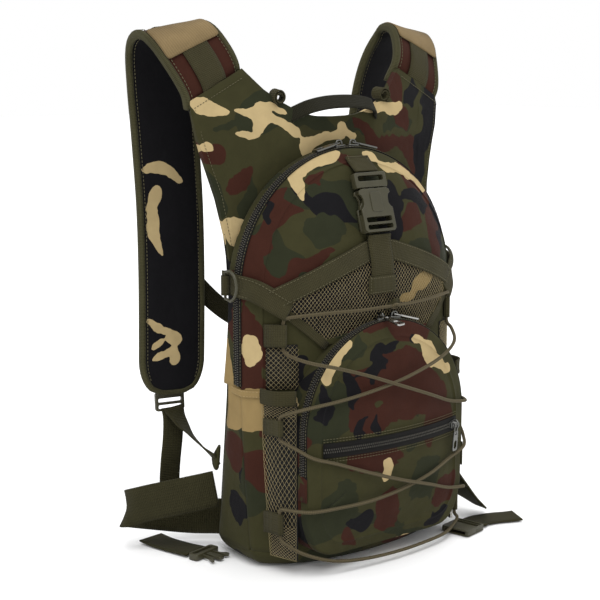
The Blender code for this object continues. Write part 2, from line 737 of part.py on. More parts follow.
def strap_rings(sign):
    """Sections of a shoulder strap: centres, sideways directions and widths."""
    rows = [(*p, *a) for p, a in zip(STRAP_LINE, STRAP_ACROSS)]
    smooth = curve_through(rows, 2)
    out = []
    for row in smooth:
        centre = Vector((sign * row[0], row[1], row[2]))
        across = Vector((sign * row[3], row[4], row[5])).normalized()
        left = centre.z - (STRAP_LINE[-1][2])
        at_tip = row[2] < 192 and row[1] > 100
        share = min(1.0, max(0.0, left / 34)) if at_tip else 1.0
        wide = STRAP_WIDE * (0.45 + 0.55 * math.sqrt(1 - (1 - share) ** 2))
        out.append((centre, across, wide))
    return out


def build_shoulder_strap(side, sign):
    rings = strap_rings(sign)
    ways = directions([c for c, _, _ in rings])
    edge = STRAP_THICK / 2
    loops = []
    for (centre, across, wide), way in zip(rings, ways):
        across = (across - way * across.dot(way)).normalized()
        up = way.cross(across).normalized()
        half = wide / 2
        shape = ((-half, 0), (-half + 2, -edge * 0.6), (-half + 8, -edge), (half - 8, -edge),
                 (half - 2, -edge * 0.6), (half, 0), (half - 2, edge * 0.6), (half - 8, edge),
                 (-half + 8, edge), (-half + 2, edge * 0.6))
        loops.append([centre + across * a + up * b for a, b in shape])
    loft(f"shoulder_strap_{side}", loops, "camo")


def build_ladder_lock(side, sign):
    lock = box(f"ladder_lock_{side}", (32, 20, 4.5), (0, 0, 0), "plastic", 1.2)
    cut(lock, (25.6, 4.0, 9), (0, 5.6, 0))
    cut(lock, (25.6, 4.0, 9), (0, -1.2, 0))
    set_frame(lock, (sign * 132.5, 119.3, 146), (sign * 0.978, 0.208, 0), (sign * 0.2, -0.97, 0.1))


def build_adjuster_web(side, sign):
    path = curve_through([(sign * 132, 113, 141), (sign * 131, 107, 132), (sign * 129, 95, 120),
                          (sign * 126, 80, 110), (sign * 122.5, 64, 101), (sign * 119, 52, 95)], 2)
    band(f"adjuster_web_{side}", path, (sign * 0.55, 0.45, 0.7), 22, 1.6, "webbing")


def sternum_line(share):
    """The chest strap's sagging run, from the left strap (0) to the right one (1)."""
    x = -92 + 184 * share
    sag = 50 * (1 - (2 * share - 1) ** 2)
    return Vector((x, 122 - 4 * (1 - (2 * share - 1) ** 2), 262 - sag))


def build_sternum_strap():
    for side, start, end in (("left", -0.1, 0.40), ("right", 1.1, 0.66)):
        path = [sternum_line(start + (end - start) * i / 9) for i in range(10)]
        band(f"sternum_web_{side}", path, (0, 0, 1), 20, 1.6, "webbing")
    make_buckle("sternum_buckle_male", "sternum_buckle_female",
                sternum_line(0.5) + Vector((-3, 0, -0.4)), (-1, 0, 0), (0, 1, 0), (0.8, 0.8, 0.8))


BELTS = {                    # (x, y, z) and sideways direction along each belt half
    "left": [(-123, 50, 66, 0, 0, 1), (-138, 58, 63, 0, 0, 1), (-158, 72, 58, 0, 0, 1),
             (-177, 87, 53, 0, -0.05, 1), (-189, 99, 48, 0.05, -0.1, 1),
             (-192, 110, 43, 0.1, -0.2, 1), (-184, 115, 38, 0, -0.3, 1),
             (-168, 113, 33, 0, -0.3, 1), (-148, 105, 29, 0, -0.25, 1),
             (-125, 93, 26, 0, -0.1, 1), (-108, 80, 26, 0, 0, 1), (-97, 70, 26, 0, 0, 1)],
    "right": [(123, 50, 66, 0, 0, 1), (131, 32, 62, 0, 0, 1), (139, 14, 55, -0.1, 0, 1),
              (146, -6, 45, -0.25, -0.1, 1), (154, -24, 31, -0.5, -0.35, 0.8),
              (162, -38, 18, -0.62, -0.6, 0.5), (169, -48, 10.5, -0.62, -0.7, 0.25)],
}
TAILS = {                    # the adjustable webbing on the floor
    "left": [(-160, 118, 3.4), (-157, 98, 2.4), (-151, 74, 2.4), (-146, 54, 3.4)],
    "right": [(137.5, -60, 3.4), (151, -56, 2.2), (170, -60, 2.2), (186, -67, 2.2), (195, -71, 2.6)],
}


def build_waist_belt():
    for side in SIDES:
        rows = curve_through(BELTS[side], 2)
        band(f"waist_belt_{side}", [row[:3] for row in rows], [Vector(row[3:]) for row in rows],
             38, 2.0, "webbing")
        path = curve_through(TAILS[side], 3)
        ways = directions(path)
        band(f"waist_tail_{side}", path, [Vector((0, 0, 1)).cross(way) for way in ways], 30, 1.6,
             "webbing")


def build_waist_buckles():
    male = box("waist_buckle_male", (12, 34, 6.4), (7, 0, 0), "plastic", 1.4)
    cut(male, (4.4, 28, 12), (8.4, 0, 0))
    join(male, (20, 7, 3.4), (-8, 0, 0))
    for side in (-1, 1):
        join(male, (19, 3.4, 3.4), (-7.5, side * 10, 0))
    set_frame(male, (-141, 38, 3.6), (-0.24, 0.97, 0), (0, 0, 1))
    female = box("waist_buckle_female", (32, 34, 6.4), (0, 0, 0), "plastic", 1.6)
    cut(female, (18, 25, 3.4), (9, 0, 0))
    cut(female, (4.4, 28, 12), (-7, 0, 0))
    cut(female, (3.6, 28, 12), (-12.6, 0, 0))
    set_frame(female, (118, -64, 3.6), (-0.97, -0.2, 0), (0, 0, 1))


def build_model():
    build_back_panel()
    build_rear_gusset()
    build_front_shell()
    build_top_flap()
    build_zip("main_zip", arch(ARCH_R - 1, ARCH_Z, ZIP_END_Z + 1, 24), ZIP_Y, ZIP_WIDE)
    build_divider()
    build_bladder()
    build_bladder_fittings()
    build_front_webbing()
    build_centre_strap()
    build_buckles()
    build_main_sliders()
    build_front_pocket()
    build_pocket_sliders()
    build_face_zip()
    build_lacing()
    build_handle()
    for side, sign in SIDES.items():
        build_side_pocket(side, sign)
        for index, (top, bottom) in enumerate(LOOP_SPANS[side]):
            build_lace_loop(side, sign, index, top, bottom)
        build_compression_web(side, sign)
        build_d_ring(side, sign)
        build_shoulder_strap(side, sign)
        build_ladder_lock(side, sign)
        build_adjuster_web(side, sign)
    build_sternum_strap()
    build_waist_belt()
    build_waist_buckles()


clear_scene()
PARTS = new_collection("hydration_pack")
CUTTERS = new_collection("cutters")
build_model()
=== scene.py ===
"""Looks of the hydration pack, built round its CAD frame.

Lengths are in millimetres and become metres when a mesh is made.  +Z is up and the pack's
front faces -Y.
"""
import math

import bpy
from mathutils import Matrix, Vector, noise

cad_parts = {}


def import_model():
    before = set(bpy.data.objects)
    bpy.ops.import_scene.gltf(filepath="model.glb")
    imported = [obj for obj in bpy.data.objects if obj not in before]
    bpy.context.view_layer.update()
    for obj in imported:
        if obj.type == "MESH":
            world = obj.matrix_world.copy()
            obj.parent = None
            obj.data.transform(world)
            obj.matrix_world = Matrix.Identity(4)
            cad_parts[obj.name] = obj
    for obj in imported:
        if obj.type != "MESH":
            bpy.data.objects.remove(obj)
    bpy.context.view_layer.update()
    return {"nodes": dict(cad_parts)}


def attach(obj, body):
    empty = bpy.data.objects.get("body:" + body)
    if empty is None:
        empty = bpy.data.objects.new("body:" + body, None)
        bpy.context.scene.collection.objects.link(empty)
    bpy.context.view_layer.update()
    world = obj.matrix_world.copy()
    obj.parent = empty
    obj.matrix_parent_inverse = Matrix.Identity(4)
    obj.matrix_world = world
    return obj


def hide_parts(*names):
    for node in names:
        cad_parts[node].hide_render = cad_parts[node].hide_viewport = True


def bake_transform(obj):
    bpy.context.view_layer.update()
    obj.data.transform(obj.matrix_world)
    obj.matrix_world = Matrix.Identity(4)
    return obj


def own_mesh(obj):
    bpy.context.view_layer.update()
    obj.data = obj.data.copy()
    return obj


MM = 0.001

# ---- the bag's driving dimensions, as in the CAD part ----
ARCH_R = 135.0
ARCH_Z = 275.0
ZIP_Y = -6.0
ZIP_END_Z = 184.0
BULGE = 50.0
LIP = 3.5
SIDE_EASE = 34.0
TOP_EASE = 55.0
BASE_ROUND = 18.0
EDGE_Y = -10.3               # where the front fabric starts, beside the main zip
POCKET_R = 103.0
POCKET_Z = 141.0
POCKET_ZIP_Y = -67.5
POCKET_ZIP_END_Z = 98.0
FACE_Y = -90.0
FACE_ZIP_Z = 128.0
FACE_ZIP_R = 300.0
CORD = 3.5
BUCKLE_Z = 357.0
STRAP_WIDE = 68.0
STRAP_THICK = 9.0
EYE = 5.2                    # from a slider's seat up to its pull's pivot
SEAM = 12.5                  # the rim strip's seam, in from the bag's edge
CLOTH = 1.4                  # thickness of the coated fabric
NET_PITCH = 3.9
NET_STRAND = 0.42
TOOTH_PITCH = 2.3            # of the zips' coils
V_HALF = 118                 # half the V pocket's span
MAIN_SLIDER_TURN = 3.7       # degrees from the arch's top to each main slider
PULL_DROOP = 9               # degrees
SIDES = {"left": -1, "right": 1}

# ---- the camera ----
CAMERA = (-910.6, -1079.0, 503.0)
TARGET = (-53.5, 0, 260.3)
LENS = 84.18

# ---- colours, linear ----
TONES = {
    "green": (0.033, 0.031, 0.0125),
    "moss": (0.020, 0.022, 0.011),
    "brown": (0.036, 0.012, 0.0075),
    "black": (0.0065, 0.0062, 0.0072),
    "tan": (0.40, 0.305, 0.155),
    # the tan darkened as painted shade, for tan patches on the flanks that face away from the key light
    "shaded_tan": (0.235, 0.165, 0.070),
}
OLIVE = (0.045, 0.040, 0.019)
STRAND = (0.30, 0.245, 0.13)

# ---- camouflage patches: (tone, [(across, up, half width, half height, turn in degrees)]) ----
YOKE = [
    ("moss", [(-122, 433, 18, 6, -18), (96, 432, 24, 10, 0), (-96, 350, 14, 34, 0),
              (30, 424, 30, 8, 0)]),
    ("brown", [(-119, 378, 17, 8, -32), (-104, 388, 9, 7, 0), (62, 418, 38, 9, 20),
               (100, 440, 15, 16, 0), (92, 468, 13, 16, 30), (112, 400, 14, 18, 0),
               (-104, 296, 30, 12, 0)]),
    ("black", [(148, 440, 13, 34, 0), (126, 392, 12, 26, 10), (118, 464, 10, 10, 0),
               (-132, 300, 7, 12, 0)]),
    ("tan", [(-148, 453, 11, 10, 0), (-136, 448, 15, 6, 8), (-107, 449, 9, 3.6, 0),
             (-86, 449, 16, 5.5, -10), (-68, 447, 9, 3, 25), (-90, 440, 8, 8, 0),
             (-93, 430, 6, 6, 0), (-105, 425, 11, 3.2, 10), (-66, 433, 23, 5, 24),
             (-37, 412, 8, 11, 0), (-22, 418, 15, 6, -12), (-2, 420, 12, 5, 0), (10, 428, 6, 7, 0),
             (20, 424, 8, 4, 20), (60, 448, 22, 5, -4), (84, 446, 14, 6, -20), (-146, 415, 8, 5, 0),
             (-121, 332, 13, 13, 0), (-130, 342, 9, 6, 0)]),
]
FRONT = [
    ("moss", [(-60, 335, 24, 14, 0), (60, 300, 28, 16, 0), (0, 375, 30, 10, 0)]),
    ("brown", [(-107, 341, 40, 7, -54), (-128, 296, 7, 26, 0), (-92, 299, 26, 9, -18),
               (-70, 311, 16, 6, -20), (-112, 286, 12, 14, 0), (-16, 404, 24, 6, 0),
               (-57, 383, 9, 6, -25), (52, 338, 16, 10, 0), (92, 330, 12, 36, 0),
               (-127, 236, 9, 24, 0), (-122, 160, 12, 26, 0), (76, 290, 18, 10, 0)]),
    ("black", [(-66, 364, 14, 6, 25), (-50, 356, 12, 7, 15), (-106, 352, 9, 5, -54),
               (34, 352, 10, 22, 0), (20, 334, 14, 9, 0), (70, 352, 22, 9, 20),
               (104, 330, 8, 26, 0)]),
    ("tan", [(-73, 377, 4.5, 12, 0), (-60, 394, 17, 5.5, -35), (-34, 402, 17, 5, -12),
             (20, 400, 10, 4, 6), (40, 390, 14, 4.5, 15), (64, 381, 14, 5, 28),
             (86, 369, 13, 5, 34), (-129, 222, 7, 15, 0)]),
    # Tan patches at the left flank, in the darker tan as painted shade
    ("shaded_tan", [(-128, 172, 12, 12, 0), (-122, 160, 10, 16, 0), (-132, 156, 8, 14, 0)]),
]
SIDE = [
    ("brown", [(-8, 250, 16, 30, 0), (10, 118, 18, 16, 0), (-26, 38, 12, 12, 0)]),
    ("black", [(8, 268, 8, 22, 0), (6, 56, 14, 22, 0)]),
    ("moss", [(-20, 94, 16, 26, 0)]),
    # Tan patches on the flank, in the darker tan as painted shade
    ("shaded_tan", [(4, 174, 34, 14, 0), (-22, 164, 16, 18, 0), (0, 156, 14, 14, 0),
               (20, 154, 14, 16, 0), (36, 160, 12, 12, 0), (-22, 221, 9, 15, 0),
               (12, 198, 7, 30, 0), (20, 330, 12, 22, 0)]),
]
POCKET = [
    ("brown", [(-14, 241, 24, 5, 0), (6, 192, 40, 24, 0), (40, 162, 40, 20, 0),
               (-44, 172, 14, 24, 0), (-24, 110, 34, 11, 0), (-8, 58, 20, 24, 0),
               (-26, 150, 22, 12, 0), (72, 60, 18, 10, -30)]),
    ("moss", [(-70, 178, 9, 18, 0), (44, 80, 20, 22, 0), (-66, 72, 20, 28, 0),
              (-46, 222, 18, 7, -25)]),
    ("green", [(-44, 206, 18, 7, -30), (70, 118, 22, 10, 0), (30, 50, 20, 14, 0)]),
    ("black", [(-88, 176, 6, 20, 0), (-14, 216, 20, 6, -18), (-26, 198, 18, 7, -30),
               (-54, 184, 8, 20, 0), (-42, 146, 5, 12, 8), (-25, 145, 6, 10, 0),
               (66, 34, 16, 9, -30), (30, 224, 9, 5, 0)]),
    ("tan", [(-57, 223, 11, 5, -38), (-71, 212, 11, 6, -48), (-81, 200, 6, 8, 0),
             (34, 224, 8, 5, 10), (50, 213, 13, 6, 20), (62, 196, 8, 8, 10), (48, 202, 6, 10, -20),
             (74, 188, 8, 6, 0), (-14, 104, 7, 6, 0), (-17, 94, 6, 8, 20), (24, 10, 30, 8, 0)]),
]
RIM = [
    ("brown", [(-20, 243, 30, 9, 0), (-98, 112, 9, 24, 0), (-106, 70, 10, 18, 0)]),
    ("black", [(-102, 140, 9, 22, 0), (-110, 44, 14, 14, 0)]),
    ("tan", [(-113, 99, 6, 10, 0), (-101, 178, 4, 12, 0)]),
]
STRAP_INSIDE = [
    ("tan", [(-152, 391, 12, 6, -14), (-138, 388, 13, 5.5, 20), (-126, 380, 8, 4, 42),
             (-148, 364, 5, 8, 0), (-151, 350, 6, 16, 0), (-150, 330, 7, 15, 0),
             (-146, 312, 4, 12, -20), (-152, 232, 9, 4, 30), (-142, 224, 12, 4.5, 28),
             (-130, 212, 8, 8, 0), (-148, 208, 8, 4, -30), (-142, 196, 14, 4, -20),
             (-130, 190, 6, 8, 0), (141, 387, 20, 6, 25), (150, 340, 9, 22, 12)]),
]


# ---- materials ----

class Look:
    """A procedural material under construction, with short ways to add its nodes."""

    EDGE = 0.22                  # a spot's strength at its outline

    def __init__(self, name, roughness, metallic=0.0, sheen=0.0, specular=0.06):
        self.made = bpy.data.materials.new(name)
        self.made.use_nodes = True
        self.tree = self.made.node_tree
        self.shader = self.tree.nodes["Principled BSDF"]
        self.shader.inputs["Roughness"].default_value = roughness
        self.shader.inputs["Metallic"].default_value = metallic
        self.shader.inputs["Sheen Weight"].default_value = sheen
        self.shader.inputs["Sheen Roughness"].default_value = 0.5
        self.shader.inputs["Specular IOR Level"].default_value = specular
        coordinates = self.tree.nodes.new("ShaderNodeTexCoord")
        self.place = coordinates.outputs["Object"]
        self.uv = coordinates.outputs["UV"]

    def feed(self, socket, value):
        if isinstance(value, bpy.types.NodeSocket):
            self.tree.links.new(value, socket)
        elif isinstance(value, tuple) and socket.type == "RGBA":
            socket.default_value = (*value, 1)
        else:
            socket.default_value = value

    def math(self, operation, a, b=0.0):
        node = self.tree.nodes.new("ShaderNodeMath")
        node.operation = operation
        self.feed(node.inputs[0], a)
        self.feed(node.inputs[1], b)
        return node.outputs[0]

    def graded(self, value, gain, base):
        """The value times gain, plus base."""
        node = self.math("MULTIPLY_ADD", value, gain).node
        node.inputs[2].default_value = base
        return node.outputs[0]

    def vector(self, operation, a, b=(0, 0, 0), scale=1.0):
        node = self.tree.nodes.new("ShaderNodeVectorMath")
        node.operation = operation
        self.feed(node.inputs[0], a)
        self.feed(node.inputs[1], b)
        if operation == "SCALE":
            node.inputs["Scale"].default_value = scale
        return node.outputs["Value" if operation == "LENGTH" else "Vector"]

    def mix(self, share, a, b, blend="MIX"):
        node = self.tree.nodes.new("ShaderNodeMix")
        node.data_type = "RGBA"
        node.blend_type = blend
        self.feed(node.inputs[0], share)
        self.feed(node.inputs[6], a)
        self.feed(node.inputs[7], b)
        return node.outputs[2]

    def noise(self, where, scale, detail=2.0, output="Fac"):
        node = self.tree.nodes.new("ShaderNodeTexNoise")
        self.feed(node.inputs["Vector"], where)
        node.inputs["Scale"].default_value = scale
        node.inputs["Detail"].default_value = detail
        return node.outputs[output]

    def warp(self, where, scale, reach):
        """Move coordinates about by a smooth noise."""
        drift = self.noise(where, scale, 1.0, "Color")
        drift = self.vector("SUBTRACT", drift, (0.5, 0.5, 0.5))
        return self.vector("ADD", where, self.vector("SCALE", drift, scale=reach))

    def split(self, where):
        node = self.tree.nodes.new("ShaderNodeSeparateXYZ")
        self.feed(node.inputs[0], where)
        return node.outputs

    def wave(self, value, pitch):
        """A sine of a length in metres, once each pitch in millimetres."""
        return self.math("SINE", self.math("MULTIPLY", value, 2 * math.pi / (pitch * MM)))

    def spots(self, where, spots, sideways):
        """1 inside the ellipses, which flow together; they look along Y, or along X if sideways."""
        total = 0.0
        for across, up, half, rise, turn in spots:
            node = self.tree.nodes.new("ShaderNodeMapping")
            node.vector_type = "TEXTURE"
            self.feed(node.inputs["Vector"], where)
            if sideways:
                node.inputs["Location"].default_value = (0, across * MM, up * MM)
                node.inputs["Rotation"].default_value = (math.radians(-turn), 0, 0)
                node.inputs["Scale"].default_value = (1000, half * MM, rise * MM)
            else:
                node.inputs["Location"].default_value = (across * MM, 0, up * MM)
                node.inputs["Rotation"].default_value = (0, math.radians(turn), 0)
                node.inputs["Scale"].default_value = (half * MM, 1000, rise * MM)
            reach = self.vector("LENGTH", node.outputs[0])
            pull = self.math("POWER", self.EDGE, self.math("MULTIPLY", reach, reach))
            total = self.math("ADD", pull, total)
        return self.math("GREATER_THAN", total, self.EDGE)

    def bump(self, height, distance, strength=1.0, after=None):
        node = self.tree.nodes.new("ShaderNodeBump")
        node.inputs["Strength"].default_value = strength
        node.inputs["Distance"].default_value = distance * MM
        self.feed(node.inputs["Height"], height)
        if after:
            self.feed(node.inputs["Normal"], after)
        self.feed(self.shader.inputs["Normal"], node.outputs[0])
        return node.outputs[0]

    def colour(self, value):
        self.feed(self.shader.inputs["Base Color"], value)


def camo(name, patches, seed=0.0, sideways=False, base="green", random=1.0):
    """Woodland cloth: loose noise-edged blobs, with the listed patches on top."""
    look = Look(name, 0.8, sheen=0.02)
    shifted = look.vector("ADD", look.place, (seed, seed * 0.7, seed * 1.3))
    warped = look.warp(shifted, 24, 0.030)
    colour = TONES[base]
    for tone, scale, level in (("moss", 13, 0.55), ("brown", 11, 0.60), ("black", 15, 0.645)):
        stretched = look.vector("MULTIPLY", warped, (1, 1, 1.5))
        shade = look.noise(look.vector("ADD", stretched, (level * 9, 0, 0)), scale, 0.5)
        shade = look.math("MULTIPLY", shade, random)
        colour = look.mix(look.math("GREATER_THAN", shade, level), colour, TONES[tone])
    mild = look.warp(look.warp(look.place, 32, 0.012), 120, 0.004)
    strong = look.warp(look.warp(look.place, 26, 0.040), 80, 0.012)
    for tone, spots in patches:
        placed = mild if tone in ("tan", "shaded_tan") else strong
        colour = look.mix(look.spots(placed, spots, sideways), colour, TONES[tone])
    mottle = look.graded(look.noise(look.place, 60, 3.0), 0.35, 0.82)
    colour = look.mix(1.0, colour, mottle, "MULTIPLY")
    look.colour(colour)
    x, y, z = look.split(look.place)
    weave = look.math("MULTIPLY", look.wave(look.math("ADD", x, y), 1.1), look.wave(z, 1.1))
    first = look.bump(weave, 0.12, 0.35)
    look.bump(look.noise(look.warp(look.place, 9, 0.05), 26, 3.0), 6.0, 0.5, first)
    return look.made


def webbing(name, base, pitch=1.7, cross=2.4, depth=0.35, contrast=0.35):
    """Ribbed webbing: ribs across the strip, and the warp's fine lines along it."""
    look = Look(name, 0.85, sheen=0.03)
    across, along, _ = look.split(look.uv)
    ribs = look.wave(along, pitch)
    lines = look.wave(across, cross)
    both = look.math("ADD", look.math("MULTIPLY", ribs, 0.7), look.math("MULTIPLY", lines, 0.3))
    shade = look.graded(both, contrast * 0.5, 1 - contrast * 0.35)
    worn = look.graded(look.noise(look.place, 45, 3.0), 0.5, 0.75)
    look.colour(look.mix(1.0, look.mix(1.0, base, shade, "MULTIPLY"), worn, "MULTIPLY"))
    look.bump(both, depth)
    return look.made


def plain(name, base, roughness, metallic=0.0, grain=300, depth=0.05, mottle=0.25, specular=0.15):
    """A finish with slight mottling and a fine grain."""
    look = Look(name, roughness, metallic, specular=specular)
    shade = look.graded(look.noise(look.place, 80, 3.0), mottle * 2, 1 - mottle)
    look.colour(look.mix(1.0, base, shade, "MULTIPLY"))
    look.bump(look.noise(look.place, grain, 2.0), depth, 0.6)
    return look.made


def braid(name, base):
    """A cord's woven cover: two crossed spirals of light and dark strands."""
    look = Look(name, 0.75, sheen=0.03)
    across, along, _ = look.split(look.uv)
    turn = look.math("MULTIPLY", across, 2 * math.pi / (math.pi * CORD * MM) * 2)
    run = look.math("MULTIPLY", along, 2 * math.pi / (3.2 * MM))
    one = look.math("SINE", look.math("ADD", run, turn))
    other = look.math("SINE", look.math("SUBTRACT", run, turn))
    weave = look.math("MULTIPLY", one, other)
    look.colour(look.mix(1.0, base, look.graded(weave, 0.3, 0.95), "MULTIPLY"))
    look.bump(weave, 0.25)
    return look.made


# ---- mesh helpers ----

def new_object(name, points, faces, look, uvs=None, smooth=True):
    """Points in millimetres; uvs, if given, has one (u, v) in metres for each face corner."""
    mesh = bpy.data.meshes.new(name)
    mesh.from_pydata([Vector(p) * MM for p in points], [], faces)
    if uvs:
        layer = mesh.uv_layers.new(name="UVMap")
        for item, uv in zip(layer.data, uvs):
            item.uv = uv
    mesh.validate()
    if smooth:
        mesh.shade_smooth()
    obj = bpy.data.objects.new(name, mesh)
    bpy.context.scene.collection.objects.link(obj)
    mesh.materials.append(look)
    return obj


def spread(points):
    """Distance run along a list of points, in metres."""
    total = [0.0]
    for a, b in zip(points, points[1:]):
        total.append(total[-1] + (Vector(b) - Vector(a)).length * MM)
    return total


def grid(name, rows, look, closed=False, caps=False, across=None):
    """Quads over rows of points.  UVs are in metres: u round each row, v from row to row."""
    count = len(rows[0])
    middle = rows[len(rows) // 2]
    us = across or spread(list(middle) + ([middle[0]] if closed else []))
    vs = spread([row[count // 2] for row in rows])
    points = [p for row in rows for p in row]
    faces, uvs = [], []
    for r in range(len(rows) - 1):
        for i in range(count if closed else count - 1):
            j = (i + 1) % count
            faces.append((r * count + i, r * count + j, (r + 1) * count + j, (r + 1) * count + i))
            u0, u1 = us[i], us[i + 1] if i + 1 < len(us) else us[i]
            uvs += [(u0, vs[r]), (u1, vs[r]), (u1, vs[r + 1]), (u0, vs[r + 1])]
    if caps:
        faces.append(tuple(reversed(range(count))))
        faces.append(tuple(range((len(rows) - 1) * count, len(rows) * count)))
        uvs += [(0, 0)] * (2 * count)
    return new_object(name, points, faces, look, uvs)


def merge_close(obj):
    weld = obj.modifiers.new("weld", "WELD")
    weld.merge_threshold = 0.02 * MM
    return obj


def bake(obj):
    """Apply every modifier to the mesh."""
    graph = bpy.context.evaluated_depsgraph_get()
    mesh = bpy.data.meshes.new_from_object(obj.evaluated_get(graph), preserve_all_data_layers=True,
                                           depsgraph=graph)
    obj.modifiers.clear()
    obj.data = mesh
    return obj


def thicken(obj, thick, offset=-1.0, levels=0, second=None):
    """Give a sheet its thickness, after smoothing it."""
    if levels:
        smooth = obj.modifiers.new("smooth", "SUBSURF")
        smooth.levels = smooth.render_levels = levels
    solid = obj.modifiers.new("wall", "SOLIDIFY")
    solid.thickness = thick * MM
    solid.offset = offset
    if second:
        obj.data.materials.append(second)
        solid.material_offset = 1
    return bake(obj)


def skin(name, rows, look, centre, closed=False):
    """An open sheet over rows of points, with its faces turned away from a given point."""
    obj = grid(name, rows, look, closed)
    mesh = obj.data
    inside = Vector(centre) * MM
    total = sum(face.normal.dot(face.center - inside) * face.area for face in mesh.polygons)
    if total < 0:
        mesh.flip_normals()
    return obj


def strip(name, path, across, width, thick, look, *nodes, crown=0.0):
    """A ribbon that hangs on the pack's body."""
    put(ribbon(name, path, across, width, thick, look, crown), "pack", "webbing", *nodes)


def sew(name, lines):
    """Fuse rows of stitches on the pack's body."""
    put(fused(name, lines), "pack", "webbing")


def mirrored(half):
    """A profile from its left half, whose last point lies on the middle plane."""
    return half + [(-x, z) for x, z in reversed(half[:-1])]


def clamp(value):
    return min(1.0, max(0.0, value))


def squared(value, power):
    """A sine or cosine with its corners pushed out."""
    return math.copysign(abs(value) ** power, value)


def put(obj, body, slot, *nodes):
    """Hang a finished piece on its body, and let it stand for its CAD nodes."""
    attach(obj, body)
    if nodes:
        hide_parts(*nodes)


def bend(obj, slot, *nodes):
    """Bake a piece's placing into its mesh and hide its CAD nodes, for fabric that crosses the top
    flap's fold.
    """
    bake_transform(obj)
    if nodes:
        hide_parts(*nodes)


def curve_through(points, steps):
    """A Catmull-Rom curve through points of any dimension."""
    knots = [Vector(p) for p in points]
    knots = [knots[0] * 2 - knots[1]] + knots + [knots[-1] * 2 - knots[-2]]
    out = []
    for a, b, c, d in zip(knots, knots[1:], knots[2:], knots[3:]):
        for step in range(steps):
            t = step / steps
            out.append(0.5 * (2 * b + (c - a) * t + (2 * a - 5 * b + 4 * c - d) * t ** 2
                              + (3 * b - 3 * c + d - a) * t ** 3))
    out.append(knots[-2])
    return out


def directions(points):
    last = len(points) - 1
    return [(points[min(i + 1, last)] - points[max(i - 1, 0)]).normalized()
            for i in range(last + 1)]


def ribbon(name, path, across, width, thick, look, crown=0.0):
    """A strip of webbing with soft edges along a path."""
    points = [Vector(p) for p in path]
    count = len(points)
    sides = [Vector(a) for a in across] if isinstance(across, list) else [Vector(across)] * count
    widths = width if isinstance(width, list) else [width] * count
    rows = []
    steps = 6
    for point, way, side, wide in zip(points, directions(points), sides, widths):
        side = (side - way * side.dot(way)).normalized()
        up = way.cross(side).normalized()
        half = wide / 2
        spans = [-half + wide * i / steps for i in range(steps + 1)]
        lower = [(a, -thick / 2 + crown * (1 - (a / half) ** 2)) for a in spans]
        upper = [(a, thick / 2 + crown * (1 - (a / half) ** 2)) for a in reversed(spans)]
        edge = min(0.5, thick / 2)
        lower[0] = (-half + edge * 0.4, lower[0][1])
        lower[-1] = (half - edge * 0.4, lower[-1][1])
        section = lower + [(half, 0)] + upper + [(-half, 0)]
        rows.append([point + side * a + up * b for a, b in section])
    middle = widths[count // 2] / 2
    us = [-middle + 2 * middle * i / steps for i in range(steps + 1)]
    us = [u * MM for u in us] + [middle * MM] + [u * MM for u in reversed(us)] + [-middle * MM] * 2
    return grid(name, rows, look, closed=True, caps=True, across=us)


def tube(name, path, radius, look, sides=10, closed=False):
    """A round bar along a path, carried without twist."""
    points = [Vector(p) for p in path]
    ways = directions(points)
    if closed:
        count = len(points)
        ways = [(points[(i + 1) % count] - points[i - 1]).normalized() for i in range(count)]
    side = ways[0].orthogonal().normalized()
    rows = []
    for point, way in zip(points, ways):
        side = (side - way * side.dot(way)).normalized()
        up = way.cross(side)
        ring = []
        for i in range(sides):
            turn = 2 * math.pi * i / sides
            ring.append(point + side * radius * math.cos(turn) + up * radius * math.sin(turn))
        rows.append(ring)
    if closed:
        rows.append(rows[0])
        return merge_close(grid(name, rows, look, closed=True))
    return grid(name, rows, look, closed=True, caps=True)


def beads(name, items, look, sides=6):
    """Many small capsules in one mesh, each from a start to an end with a radius."""
    points, faces = [], []
    for start, end, radius in items:
        start, end = Vector(start), Vector(end)
        way = (end - start).normalized()
        side = way.orthogonal().normalized() * radius
        up = way.cross(side)
        first = len(points)
        points.append(start)
        for centre in (start + way * radius * 0.6, end - way * radius * 0.6):
            for i in range(sides):
                turn = 2 * math.pi * i / sides
                points.append(centre + side * math.cos(turn) + up * math.sin(turn))
        points.append(end)
        last = len(points) - 1
        for i in range(sides):
            j = (i + 1) % sides
            faces.append((first, first + 1 + j, first + 1 + i))
            faces.append((first + 1 + i, first + 1 + j, first + 1 + sides + j, first + 1 + sides + i))
            faces.append((first + 1 + sides + i, first + 1 + sides + j, last))
    return new_object(name, points, faces, look)


def even(path, pitch):
    """Points at an even pitch along a path, each with its direction and its place in the path."""
    points = [Vector(p) for p in path]
    out = []
    left = 0.0
    for index, (a, b) in enumerate(zip(points, points[1:])):
        length = (b - a).length
        while left < length:
            share = left / length
            out.append((a.lerp(b, share), (b - a).normalized(), index + share))
            left += pitch
        left -= length
    return out


def stitches(name, path, outs, look, pitch=3.6, length=2.3, radius=0.42):
    """A sewn line that lies on a surface; outs is its outward direction, one or one for each point."""
    if not isinstance(outs, list):
        outs = [Vector(outs)] * len(path)
    items = []
    for point, way, index in even(path, pitch):
        low = int(index)
        out = Vector(outs[low]).lerp(Vector(outs[min(low + 1, len(outs) - 1)]), index - low)
        start = point + out.normalized() * radius * 0.4
        items.append((start, start + way * length, radius))
    return beads(name, items, look, 5)


def fused(name, parts):
    """Join finished objects into one."""
    main = parts[0]
    bpy.ops.object.select_all(action="DESELECT")
    for part in parts:
        part.select_set(True)
    bpy.context.view_layer.objects.active = main
    bpy.ops.object.join()
    main.name = name
    return main


def frame_of(origin, x_axis, z_axis):
    z_axis = Vector(z_axis).normalized()
    x_axis = Vector(x_axis)
    x_axis = (x_axis - z_axis * x_axis.dot(z_axis)).normalized()
    made = Matrix((x_axis, z_axis.cross(x_axis), z_axis)).transposed().to_4x4()
    made.translation = Vector(origin) * MM
    return made


